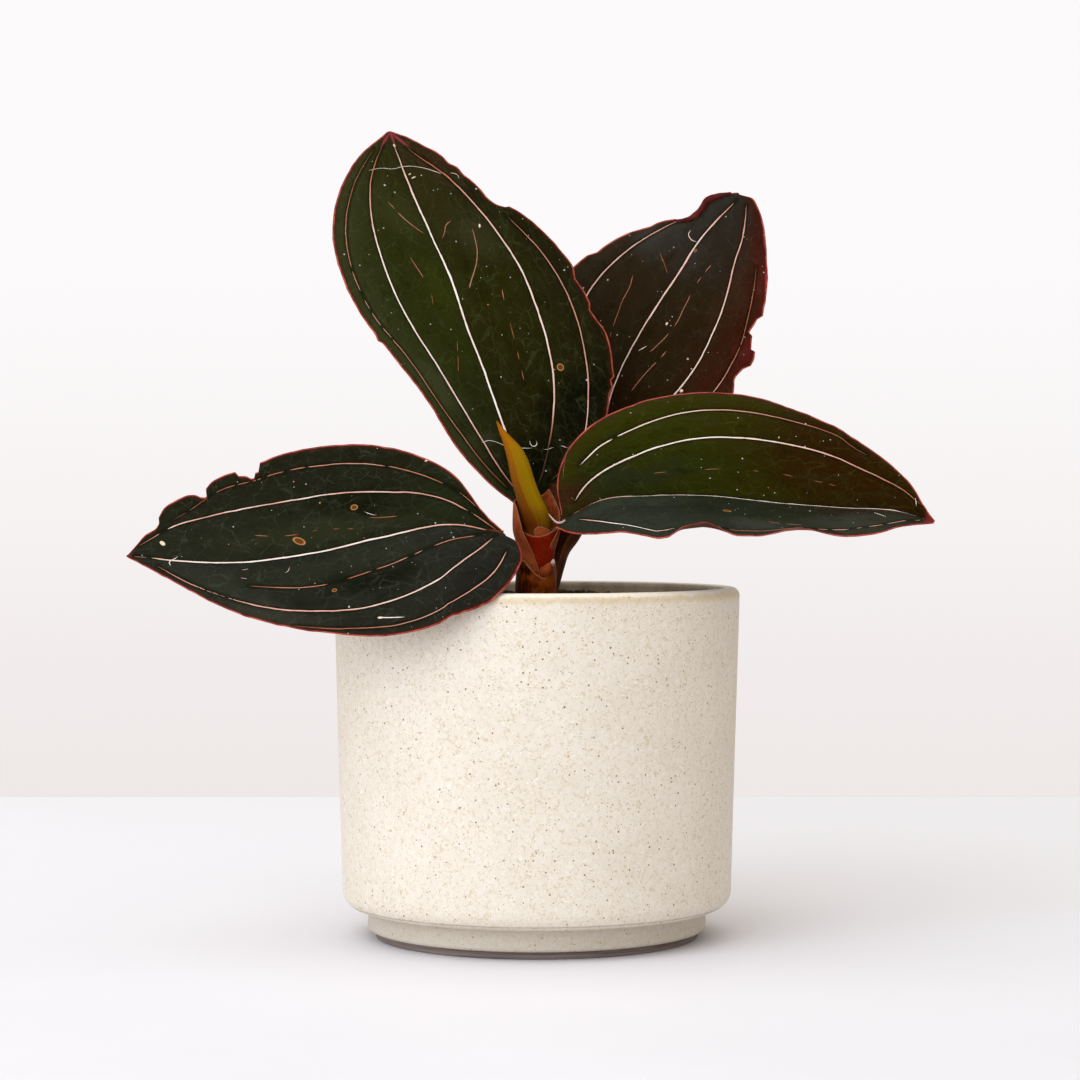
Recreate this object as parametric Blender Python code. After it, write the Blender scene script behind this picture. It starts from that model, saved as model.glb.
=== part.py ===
"""A potted jewel orchid: one leafy shoot in a stoneware pot of dark potting mix.

The driving sizes are in millimetres and are turned into metres as each mesh is made.
+Z is up, -Y is the front, and the origin is the middle of the pot's underside.
"""

import itertools
import math
import random

import bmesh
import bpy
import numpy as np
from mathutils import Matrix, Vector

MM = 0.001
CLEARANCE = 0.3

POT_HEIGHT = 77.5
RIM_RADIUS = 45.0
RIM_INNER_RADIUS = 41.2
WAIST_RADIUS = 43.25
WAIST_HEIGHT = 12.0
FOOT_RADIUS = 37.6
FOOT_HEIGHT = 6.3
BARE_BAND_RADIUS = 35.9
BARE_BAND_HEIGHT = 1.65
FLOOR_TOP = 8.0
FLOOR_RADIUS = 38.9
POT_STEPS = 48

SOIL_HEIGHT = 71.5
CHIP_COUNT = 62
CHIP_TOP = 75.2

STEM_X = 0.0
STEM_Y = -10.0
TUBE_RADIUS = 3.1
TUBE_TOP = 90.3
CUP_RADIUS = 2.35
CUP_FLOOR = 87.6
LOWER_SHEATH_RADIUS = 4.3
LOWER_SHEATH_TOP = 80.2
STEM_FOOT = 56.0

BLADE_THICKNESS = 0.8
ROWS = 30
COLUMNS = 4

# Each blade is laid out flat first. A half outline runs from the base to the tip as
# (distance along the midrib, distance from it). It is split into runs where the margin is torn.
# The blade is then bent: the midrib runs through the given points, face is the way the upper
# side looks, and bend gives each half's angle out of that face at the midrib and FOLD_WIDTH out.
# Ripple lifts the margin out of the face, as (distance along the midrib, lift).
FOLD_WIDTH = 25.0
LEAVES = {
    "leaf_tall": {
        "midrib": [(-1.5, -5, 95.5), (-8, 1, 114), (-15, 8, 134), (-22.5, 14, 153.5), (-30, 18.5, 171),
                   (-34, 20, 181)],
        "face": (0.28, -1, 0),
        "left": [[(0, 2.5), (5, 6.5), (14, 11.5), (29, 16), (45, 22), (60, 25), (73, 23.5), (83, 18.2),
                  (91, 9.5), (95, 0.4)]],
        "right": [[(0, 2.5), (2.5, 7.5), (8, 16.5), (16.5, 24.5), (27, 29.2), (37, 29.5), (50, 28), (60, 25),
                   (67.5, 20.6)],
                  [(68.5, 18.6), (76, 14.2), (85, 9.3), (91, 4.8), (95, 0.4)]],
        "bend": ((10, 14), (10, 0)),
        "ripple": ([(0, 0), (40, 0.6), (52, -0.6), (70, 0.5), (95, 0)],
                   [(0, 0), (20, -1), (38, 0.6), (60, -0.5), (95, 0)]),
    },
    "leaf_left": {
        "midrib": [(-7.5, -36, 90), (-18, -36, 91.5), (-33.5, -35, 88.5), (-50.5, -33, 85), (-67.5, -31, 83.5),
                   (-87.5, -28, 85)],
        "face": (0, -0.85, 0.5),
        "left": [[(-0.6, 0.8), (-4.2, 3), (-5, 8), (-2.5, 14.5), (4, 20.5), (15, 23.4), (27, 23.4), (40, 19.6),
                  (54, 14), (68, 6.4), (81, 0.4)]],
        "right": [[(0, 0.8), (5, 4.6), (12, 13.6), (20, 20), (31, 23.2), (42, 24.4), (51.5, 23.5)],
                  [(52.5, 21), (55, 19.6), (60.5, 21.4), (66.2, 19.2)],
                  [(67, 15.6), (70, 16.2), (74, 14.2), (77.5, 7.5), (81, 0.4)]],
        "bend": ((8, -6), (8, 8)),
        "ripple": ([(0, 0), (81, 0)], [(0, 0), (30, 0.5), (50, -0.5), (81, 0)]),
    },
    "leaf_right": {
        "midrib": [(6, -14, 92.5), (14, -14, 96.5), (24.5, -13, 97.5), (38, -13, 97.5), (52, -14, 96),
                   (65.5, -15, 95), (79, -16, 94), (86, -17, 92)],
        "face": (0, -0.7, 0.7),
        "left": [[(0, 1.5), (1.6, 6.5), (6, 13), (13, 20.5), (23, 25), (34, 26.6), (46, 25), (57, 21.2),
                  (66, 16), (74, 8.5), (80, 2), (82, 0.4)]],
        "right": [[(-2.5, 1.5), (-0.5, 7), (4, 13.5), (11, 20), (20, 22.5), (32, 22), (44, 20.6), (54, 17),
                   (62, 15.6), (69, 14), (76, 7.5), (82, 0.4)]],
        "bend": ((25, 10), (26, 27)),
        "ripple": ([(0, 0), (82, 0)],
                   [(0, 0), (10, 0.8), (19, -0.8), (31, 1.4), (40, -0.6), (52, 1.2), (62, -1.4), (72, 0.6),
                    (82, 0)]),
    },
    "leaf_back": {
        "midrib": [(14, 30, 103.5), (18, 34, 123), (25, 37, 137.5), (33, 39, 150.5), (40.5, 40, 161),
                   (47.5, 40, 169)],
        "face": (-0.2, -1, 0),
        "left": [[(0, 1.5), (4, 9), (12, 17.5), (24, 22.4), (36, 22.2), (48, 17.8), (60, 9.4)],
                 [(63, 5.6), (69, 5), (73.5, 2.5), (75.5, 0.4)]],
        "right": [[(0, 1.5), (4, 9.5), (12, 19), (22, 25.4), (33, 27.2), (43, 27)],
                  [(46, 24), (49, 23.4), (55, 23.2), (63, 19.2), (71, 13), (75, 7.5), (76.5, 3.5), (75.5, 0.4)]],
        "bend": ((12, 4), (12, 4)),
        "ripple": ([(0, 0), (75, 0)], [(0, 0), (30, 0.8), (45, -1), (60, 0.8), (75, 0)]),
    },
}

# Leaf stalks as (x, y, z, radius), from the shoot to the blade. The right leaf's is short,
# and the tall leaf has a clasping sheath in place of one.
STALKS = {
    "leaf_left": [(-3.3, -13.7, 79.6, 1.3), (-4.6, -16.5, 81.2, 1.2), (-6, -22, 84.2, 1.15),
                  (-7.2, -29, 87.4, 1.15), (-8.5, -35.3, 89.6, 1.0)],
    "leaf_right": [(4.0, -12.1, 87.3, 1.0), (4.3, -12.4, 89.6, 1.1), (5.4, -13.1, 91.5, 1.15),
                   (7.8, -13.6, 93.0, 1.1)],
    "leaf_back": [(2.7, -5.0, 75.9, 1.3), (5.2, 1.6, 79.6, 1.3), (7.4, 7, 84.4, 1.3), (10.4, 14, 90, 1.3),
                  (12.6, 22, 96, 1.2), (14, 29.4, 103, 1.1)],
}
KEEL_REACH = 16.0
STALK_SIDES = 8

# The tall leaf's sheath, level by level: height, radius round the stem, and how far it reaches
# round to the left and to the right, in degrees from the back.
TALL_SHEATH = [(80.9, 4.0, 172, 172), (83.5, 4.1, 166, 150), (86, 4.3, 156, 100), (88.5, 4.6, 145, 85),
               (91, 4.9, 132, 80), (94, 5.2, 108, 76), (97, 5.4, 70, 62), (99, 5.5, 40, 40)]
SHEATH_THICKNESS = 0.8
SHEATH_COLUMNS = 14

# The rolled new leaf as (x, y, z, radius).
NEW_LEAF = [(0, -10.3, 88.1, 1.7), (0, -10.3, 90.4, 1.9), (-0.2, -10.6, 92.2, 3.0), (-0.8, -10.7, 94.5, 3.1),
            (-1.8, -10.6, 97.5, 2.8), (-3.2, -10.3, 102.4, 2.5), (-4.3, -10, 106, 2.2), (-5.6, -9.6, 109, 1.7),
            (-7, -9.2, 111.5, 0.9), (-8.8, -8.8, 114.4, 0.2)]

# Buried roots as (x, y, z, radius), from inside the stem outwards.
ROOTS = [
    [(0.5, -9.5, 62, 1.3), (8, -8, 58, 1.2), (16, -3, 52, 1.1), (22, 6, 44, 0.9)],
    [(0.5, -9.5, 61, 1.3), (-7, -6, 56, 1.2), (-14, 2, 49, 1.1), (-19, 12, 42, 0.9)],
    [(0.5, -9.5, 60, 1.3), (-4, -16, 54, 1.2), (-10, -23, 47, 1.1), (-18, -26, 38, 0.9)],
    [(0.5, -9.5, 59, 1.3), (5, -15, 52, 1.2), (11, -21, 44, 1.1), (14, -27, 34, 0.9)],
]


def clear_scene():
    for obj in list(bpy.data.objects):
        bpy.data.objects.remove(obj, do_unlink=True)


def material(name, color, roughness):
    made = bpy.data.materials.new(name)
    made.use_nodes = True
    shader = made.node_tree.nodes["Principled BSDF"]
    shader.inputs["Base Color"].default_value = (*color, 1)
    shader.inputs["Roughness"].default_value = roughness
    shader.inputs["Metallic"].default_value = 0
    return made


def add_object(name, bm, finish=None, sharp=math.radians(40)):
    """A named object from a bmesh in millimetres, with its faces turned outwards."""
    bmesh.ops.recalc_face_normals(bm, faces=bm.faces)
    bmesh.ops.scale(bm, vec=(MM, MM, MM), verts=bm.verts)
    mesh = bpy.data.meshes.new(name)
    bm.to_mesh(mesh)
    bm.free()
    mesh.shade_smooth()
    mesh.set_sharp_from_angle(angle=sharp)
    obj = bpy.data.objects.new(name, mesh)
    bpy.context.scene.collection.objects.link(obj)
    if finish:
        mesh.materials.append(finish)
    return obj


def combine(obj, others, operation="UNION", solver="EXACT"):
    """Join or cut with the other objects, keep the result as the mesh, and remove them."""
    group = bpy.data.collections.new(obj.name + "_operands")
    bpy.context.scene.collection.children.link(group)
    for other in others:
        group.objects.link(other)
    boolean = obj.modifiers.new(operation.lower(), "BOOLEAN")
    boolean.operation = operation
    boolean.operand_type = "COLLECTION"
    boolean.collection = group
    boolean.solver = solver
    bpy.context.view_layer.update()
    graph = bpy.context.evaluated_depsgraph_get()
    joined = bpy.data.meshes.new_from_object(obj.evaluated_get(graph))
    obj.modifiers.clear()
    obj.data = joined
    for other in others:
        bpy.data.objects.remove(other, do_unlink=True)
    bpy.data.collections.remove(group)
    return obj


def turned(profile, steps, centre=(0, 0)):
    """A bmesh turned round a vertical axis from a profile of (radius, height), ends on the axis."""
    bm = bmesh.new()
    points = [bm.verts.new((centre[0] + radius, centre[1], height)) for radius, height in profile]
    edges = [bm.edges.new(pair) for pair in zip(points, points[1:])]
    bmesh.ops.spin(bm, geom=points + edges, cent=(*centre, 0), axis=(0, 0, 1), angle=2 * math.pi, steps=steps,
                   use_duplicate=False)
    bmesh.ops.remove_doubles(bm, verts=bm.verts, dist=1e-4)
    return bm


def arc(centre, radius, start, end, count):
    """Points of a profile along an arc, with its angles in degrees from +X."""
    angles = [math.radians(start + (end - start) * i / (count - 1)) for i in range(count)]
    return [(centre[0] + radius * math.cos(a), centre[1] + radius * math.sin(a)) for a in angles]


def lofted(path, sides, samples):
    """A closed bmesh tube through points of (x, y, z, radius), round in section."""
    rings = smooth_curve(path, samples)
    tangents = unit(np.gradient(rings[:, :3], axis=0))
    bm = bmesh.new()
    loops = []
    side = Vector((0.3, 1, 0.2))
    for (x, y, z, radius), tangent in zip(rings.tolist(), tangents.tolist()):
        tangent = Vector(tangent)
        side = (side - side.dot(tangent) * tangent).normalized()
        other = tangent.cross(side)
        turns = [2 * math.pi * i / sides for i in range(sides)]
        loops.append([bm.verts.new(Vector((x, y, z)) + radius * (math.cos(a) * side + math.sin(a) * other))
                      for a in turns])
    for first, second in zip(loops, loops[1:]):
        for i in range(sides):
            j = (i + 1) % sides
            bm.faces.new((first[i], first[j], second[j], second[i]))
    bm.faces.new(loops[0])
    bm.faces.new(loops[-1])
    return bm


def unit(vectors):
    return vectors / np.linalg.norm(vectors, axis=-1, keepdims=True)


def smooth_curve(points, count):
    """Evenly spaced points along a smooth curve through the given ones."""
    points = np.array(points, float)
    if len(points) == 2:
        return points[0] + np.linspace(0, 1, count)[:, None] * (points[1] - points[0])
    gaps = np.linalg.norm(np.diff(points[:, :3], axis=0), axis=1)
    knots = np.concatenate([[0], np.cumsum(gaps)])
    slopes = np.gradient(points, knots, axis=0)
    fine = np.linspace(0, knots[-1], 400)
    k = np.clip(np.searchsorted(knots, fine, side="right") - 1, 0, len(gaps) - 1)
    h = gaps[k][:, None]
    f = (fine[:, None] - knots[k][:, None]) / h
    curve = ((2 * f**3 - 3 * f**2 + 1) * points[k] + (f**3 - 2 * f**2 + f) * h * slopes[k]
             + (3 * f**2 - 2 * f**3) * points[k + 1] + (f**3 - f**2) * h * slopes[k + 1])
    return resample(curve, count)


def resample(curve, count, corners=()):
    """Evenly spaced points along a fine polyline, with the nearest ones moved onto its corners."""
    steps = np.linalg.norm(np.diff(curve[:, :3], axis=0), axis=1)
    run = np.concatenate([[0], np.cumsum(steps)])
    at = np.linspace(0, run[-1], count)
    for corner in corners:
        at[np.abs(at - run[corner]).argmin()] = run[corner]
    return np.stack([np.interp(at, run, column) for column in curve.T], -1)


def margin(runs, count):
    """A half outline as evenly spaced flat points, with its tears kept sharp."""
    pieces = [smooth_curve(run, 200) for run in runs]
    ends = np.cumsum([len(piece) for piece in pieces])[:-1]
    corners = [corner for end in ends for corner in (end - 1, end)]
    return resample(np.concatenate(pieces), count, corners)


class Blade:
    """Bends flat leaf coordinates into space."""

    def __init__(self, shape):
        self.line = smooth_curve(shape["midrib"], 201)
        steps = np.linalg.norm(np.diff(self.line, axis=0), axis=1)
        self.along = np.concatenate([[0], np.cumsum(steps)])
        self.length = self.along[-1]
        self.tangent = unit(np.gradient(self.line, axis=0))
        face = np.array(shape["face"], float)
        self.normal = unit(face - (self.tangent @ face)[:, None] * self.tangent)
        self.across = np.cross(self.tangent, self.normal)
        self.bend = shape["bend"]
        self.ripple = shape["ripple"]

    def at(self, values, x):
        return np.stack([np.interp(x, self.along, column) for column in values.T], -1)

    def place(self, x, y):
        """The point x along the midrib and y across, where y is positive on the right half."""
        tangent = self.at(self.tangent, x)
        normal = self.at(self.normal, x)
        across = self.at(self.across, x)
        past_end = x - np.clip(x, 0, self.length)
        out = np.zeros_like(x)
        lift = np.zeros_like(x)
        for side, (start, end), ripple in zip((-1, 1), self.bend, self.ripple):
            half = y * side >= 0
            width = np.abs(y)
            turn = math.radians(end - start) * width / FOLD_WIDTH / 2
            chord = width * np.sinc(turn / math.pi)
            stations, heights = np.array(ripple, float).T
            wave = np.interp(x, stations, heights) * (width / FOLD_WIDTH) ** 2
            angle = math.radians(start) + turn
            out = np.where(half, side * chord * np.cos(angle), out)
            lift = np.where(half, chord * np.sin(angle) + wave, lift)
        return (self.at(self.line, x) + past_end[:, None] * tangent + out[:, None] * across
                + lift[:, None] * normal)


def blade_mesh(shape):
    """The blade as one closed bmesh with both faces split into triangles alike."""
    blade = Blade(shape)
    edges = {side: margin(shape[side], ROWS + 1) for side in ("left", "right")}
    middle = np.linspace(0, blade.length, ROWS + 1)
    flat = []
    for i, x in enumerate(middle):
        for j in range(-COLUMNS, COLUMNS + 1):
            edge_x, edge_y = edges["right" if j > 0 else "left"][i]
            share = abs(j) / COLUMNS
            flat.append((x + (edge_x - x) * share, math.copysign(edge_y * share, j)))
    flat = np.array(flat)
    points = blade.place(flat[:, 0], flat[:, 1])
    width = 2 * COLUMNS + 1
    grid = points.reshape(ROWS + 1, width, 3)
    normals = unit(np.cross(np.gradient(grid, axis=0), np.gradient(grid, axis=1)))
    bm = bmesh.new()
    faces = {}
    for sign in (1, -1):
        offset = grid + sign * normals * BLADE_THICKNESS / 2
        faces[sign] = [[bm.verts.new(p) for p in row] for row in offset]
        for first, second in zip(faces[sign], faces[sign][1:]):
            for j in range(width - 1):
                bm.faces.new((first[j], first[j + 1], second[j + 1]))
                bm.faces.new((first[j], second[j + 1], second[j]))
    top, bottom = faces[1], faces[-1]
    rims = [(top[0], bottom[0]), (top[-1], bottom[-1])]
    rims += [([row[j] for row in top], [row[j] for row in bottom]) for j in (0, -1)]
    for upper, lower in rims:
        for i in range(len(upper) - 1):
            bm.faces.new((upper[i], upper[i + 1], lower[i + 1]))
            bm.faces.new((upper[i], lower[i + 1], lower[i]))
    return bm, blade


def stalk_mesh(path, blade):
    """A leaf stalk that runs on under the blade as its midrib, thinning out."""
    reach = np.linspace(0.3, 1, 3) * KEEL_REACH
    under = blade.place(reach, np.zeros_like(reach)) - 0.45 * blade.at(blade.normal, reach)
    radii = path[-1][3] * np.array([0.75, 0.55, 0.35])
    keel = [(*point, radius) for point, radius in zip(under, radii)]
    return lofted(path + keel, STALK_SIDES, 12)


def sheath_mesh():
    """The tall leaf's sheath: a shell round the stem's back, its edges meeting low at the front."""
    levels = smooth_curve(TALL_SHEATH, 9)
    bm = bmesh.new()
    skins = []
    for sign in (1, -1):
        skin = []
        for height, radius, left, right in levels:
            row = []
            for j in range(SHEATH_COLUMNS + 1):
                turn = math.radians(-left + (left + right) * j / SHEATH_COLUMNS)
                reach = radius + sign * SHEATH_THICKNESS / 2
                row.append(bm.verts.new((STEM_X + reach * math.sin(turn), STEM_Y + reach * math.cos(turn), height)))
            skin.append(row)
        for first, second in zip(skin, skin[1:]):
            for j in range(SHEATH_COLUMNS):
                bm.faces.new((first[j], first[j + 1], second[j + 1]))
                bm.faces.new((first[j], second[j + 1], second[j]))
        skins.append(skin)
    outer, inner = skins
    rims = [(outer[0], inner[0]), (outer[-1], inner[-1])]
    rims += [([row[j] for row in outer], [row[j] for row in inner]) for j in (0, -1)]
    for upper, lower in rims:
        for i in range(len(upper) - 1):
            bm.faces.new((upper[i], upper[i + 1], lower[i + 1], lower[i]))
    return bm


def make_leaf(name, finish):
    bm, blade = blade_mesh(LEAVES[name])
    leaf = add_object(name, bm, finish)
    if name in STALKS:
        extra = add_object(name + "_stalk", stalk_mesh(STALKS[name], blade))
    else:
        extra = add_object(name + "_sheath", sheath_mesh())
    return combine(leaf, [extra])


def make_pot(finish):
    """The pot: a bare band at the bottom, a foot set in, a slightly flared wall and a rounded rim."""
    outside = [(0, 0), (BARE_BAND_RADIUS - 0.3, 0), (BARE_BAND_RADIUS, 0.3), (BARE_BAND_RADIUS, BARE_BAND_HEIGHT)]
    outside += arc((FOOT_RADIUS - 0.9, BARE_BAND_HEIGHT + 0.9), 0.9, -90, 0, 3)
    outside += [(FOOT_RADIUS, FOOT_HEIGHT)]
    outside += arc((WAIST_RADIUS - 4.05, FOOT_HEIGHT + 4.2), 4, -90, -4, 6)
    outside += [(WAIST_RADIUS, WAIST_HEIGHT)]
    rim = arc((RIM_RADIUS - 1.8, POT_HEIGHT - 1.8), 1.8, 0, 90, 5)
    rim += arc((RIM_INNER_RADIUS + 1.2, POT_HEIGHT - 1.2), 1.2, 90, 180, 4)
    inside = [(FLOOR_RADIUS, FLOOR_TOP + 4)] + arc((FLOOR_RADIUS - 4, FLOOR_TOP + 4), 4, 0, -90, 4)[1:] + [(0, FLOOR_TOP)]
    return add_object("pot", turned(outside + rim + inside, POT_STEPS), finish)


def inner_radius(height):
    """The pot's inside radius at a height above its rounded floor."""
    low = FLOOR_TOP + 4
    share = (height - low) / (POT_HEIGHT - 1.2 - low)
    return FLOOR_RADIUS + share * (RIM_INNER_RADIUS - FLOOR_RADIUS)


def chip_mesh(draw, x, y):
    """One bark chip: a block with its corners knocked about, turned at random."""
    bm = bmesh.new()
    half = (draw.uniform(3, 5.2), draw.uniform(2.4, 3.8), draw.uniform(1.5, 2.5))
    for corner in itertools.product((-1, 1), repeat=3):
        bm.verts.new([c * h * draw.uniform(0.7, 1.1) for c, h in zip(corner, half)])
    bmesh.ops.convex_hull(bm, input=bm.verts)
    turn = Matrix.Rotation(draw.uniform(0, 2 * math.pi), 3, "Z") @ Matrix.Rotation(draw.uniform(-0.35, 0.35), 3, "X")
    bmesh.ops.rotate(bm, cent=(0, 0, 0), matrix=turn, verts=bm.verts)
    top = max(vert.co.z for vert in bm.verts)
    height = min(SOIL_HEIGHT + draw.uniform(-0.6, 1.2), CHIP_TOP - top)
    bmesh.ops.translate(bm, vec=(x, y, height), verts=bm.verts)
    bmesh.ops.triangulate(bm, faces=bm.faces)
    return bm


def chips():
    """Bark chips spread evenly over the soil, clear of the wall and of the shoot."""
    draw = random.Random(7)
    made = []
    golden = math.pi * (3 - math.sqrt(5))
    for i in range(CHIP_COUNT):
        reach = (inner_radius(SOIL_HEIGHT) - 6) * math.sqrt((i + 0.5) / CHIP_COUNT)
        turn = golden * i
        x = reach * math.cos(turn)
        y = reach * math.sin(turn)
        made.append(add_object(f"chip_{i}", chip_mesh(draw, x, y)))
    return made


STEM_PROFILE = [(0, STEM_FOOT), (2.6, STEM_FOOT), (3.4, 63), (4.0, 72), (LOWER_SHEATH_RADIUS, 77),
                (LOWER_SHEATH_RADIUS, LOWER_SHEATH_TOP), (TUBE_RADIUS + 0.1, LOWER_SHEATH_TOP),
                (TUBE_RADIUS, 84), (TUBE_RADIUS, TUBE_TOP), (CUP_RADIUS, TUBE_TOP), (CUP_RADIUS - 0.3, CUP_FLOOR),
                (0, CUP_FLOOR)]


def root_objects(extra):
    """The roots, or with extra the cavities that leave them that much room."""
    made = []
    for i, path in enumerate(ROOTS):
        (x, y, z, radius), before = path[-1], path[-2]
        reach = 1 + extra / math.dist((x, y, z), before[:3])
        tip = [low + (high - low) * reach for low, high in zip(before[:3], (x, y, z))]
        widened = [(*point[:3], point[3] + extra) for point in path[:-1]] + [(*tip, radius + extra)]
        made.append(add_object(f"root_{i}", lofted(widened, 6, 6)))
    return made


def make_stem(finish):
    """The stem with its lower sheath and the sheath tube that the new leaf stands in."""
    stem = add_object("stem", turned(STEM_PROFILE, 20, (STEM_X, STEM_Y)), finish)
    return combine(stem, root_objects(0))


def make_soil(finish):
    """Potting mix with bark chips on top and a plain hole that the stem stands in."""
    wall = CLEARANCE + 0.1
    low = FLOOR_TOP + 4
    profile = [(0, FLOOR_TOP + CLEARANCE), (FLOOR_RADIUS - 4 - wall, FLOOR_TOP + CLEARANCE),
               (FLOOR_RADIUS - wall - 0.6, low), (inner_radius(SOIL_HEIGHT) - wall, SOIL_HEIGHT - 0.6),
               (inner_radius(SOIL_HEIGHT) - wall - 3, SOIL_HEIGHT), (0, SOIL_HEIGHT + 0.6)]
    soil = add_object("soil", turned(profile, 36), finish)
    combine(soil, chips(), solver="MANIFOLD")
    hole = [(0, STEM_FOOT - CLEARANCE), (2.6 + CLEARANCE, STEM_FOOT - CLEARANCE), (3.4 + CLEARANCE, 63),
            (4.2 + CLEARANCE, 72), (LOWER_SHEATH_RADIUS + 0.9, 80), (0, 80)]
    cutters = [add_object("stem_hole", turned(hole, 20, (STEM_X, STEM_Y)))] + root_objects(CLEARANCE)
    return combine(soil, cutters, "DIFFERENCE", solver="MANIFOLD")


def make_new_leaf(finish):
    return add_object("leaf_new", lofted(NEW_LEAF, 12, 16), finish)


def main():
    clear_scene()
    stoneware = material("stoneware", (0.74, 0.69, 0.60), 0.45)
    bark = material("bark", (0.06, 0.045, 0.035), 0.9)
    sheath = material("sheath", (0.28, 0.07, 0.03), 0.4)
    blade = material("blade", (0.035, 0.05, 0.02), 0.45)
    new_blade = material("new_blade", (0.42, 0.30, 0.03), 0.4)
    make_pot(stoneware)
    make_soil(bark)
    make_stem(sheath)
    for name in LEAVES:
        make_leaf(name, blade)
    make_new_leaf(new_blade)


main()
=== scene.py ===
import math

import bpy
import numpy as np
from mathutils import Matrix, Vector, noise


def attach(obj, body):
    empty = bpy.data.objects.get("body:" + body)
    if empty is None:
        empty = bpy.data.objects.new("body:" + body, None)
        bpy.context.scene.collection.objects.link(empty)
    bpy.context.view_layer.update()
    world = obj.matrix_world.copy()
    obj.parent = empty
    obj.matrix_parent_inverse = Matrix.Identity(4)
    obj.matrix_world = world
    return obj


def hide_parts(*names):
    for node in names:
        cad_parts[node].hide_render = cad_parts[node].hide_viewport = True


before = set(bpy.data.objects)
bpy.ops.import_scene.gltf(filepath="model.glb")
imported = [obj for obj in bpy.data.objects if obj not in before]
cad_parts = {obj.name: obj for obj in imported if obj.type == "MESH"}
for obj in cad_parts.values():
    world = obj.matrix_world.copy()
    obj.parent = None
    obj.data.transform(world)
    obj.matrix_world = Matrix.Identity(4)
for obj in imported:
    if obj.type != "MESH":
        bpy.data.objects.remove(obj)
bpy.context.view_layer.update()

# Lengths are in millimetres until a mesh is made, which turns them into metres.
MM = 0.001

# Camera and floor, from the fit to the pot's rim, wall and foot in the photograph.
LENS_PX = 2939.0
FRAME_PX = 1080.0
SENSOR = 36.0
CAMERA_PLACE = (0.7, -654.0, 99.4)
CAMERA_DOWN = 0.0176
FLOOR_END = 291.0
FLOOR_REACH = 1600.0

# The pot.
POT_HEIGHT = 77.5
RIM_RADIUS = 45.0
RIM_INNER_RADIUS = 41.2
WAIST_RADIUS = 43.25
WAIST_HEIGHT = 12.0
FOOT_RADIUS = 37.6
FOOT_HEIGHT = 6.3
BARE_BAND_RADIUS = 35.9
BARE_BAND_HEIGHT = 1.65
FLOOR_TOP = 8.0
FLOOR_RADIUS = 38.9
POT_STEPS = 256

# The potting mix.
SOIL_HEIGHT = 71.5
CHIP_TOP = 75.2

# The shoot.
STEM_X = 0.0
STEM_Y = -10.0
TUBE_RADIUS = 3.1
TUBE_TOP = 90.3
CUP_FLOOR = 87.6
LOWER_SHEATH_RADIUS = 4.3
LOWER_SHEATH_TOP = 80.2
STEM_FOOT = 56.0

BLADE_THICKNESS = 0.8
ROWS = 210
MARGIN_SAMPLES = 240
COLUMNS = 34
EDGE_COLUMNS = (0, 0.06, 0.18, 0.36, 0.7)
EDGE_ROUND = 0.36
FOLD_WIDTH = 25.0

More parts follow.
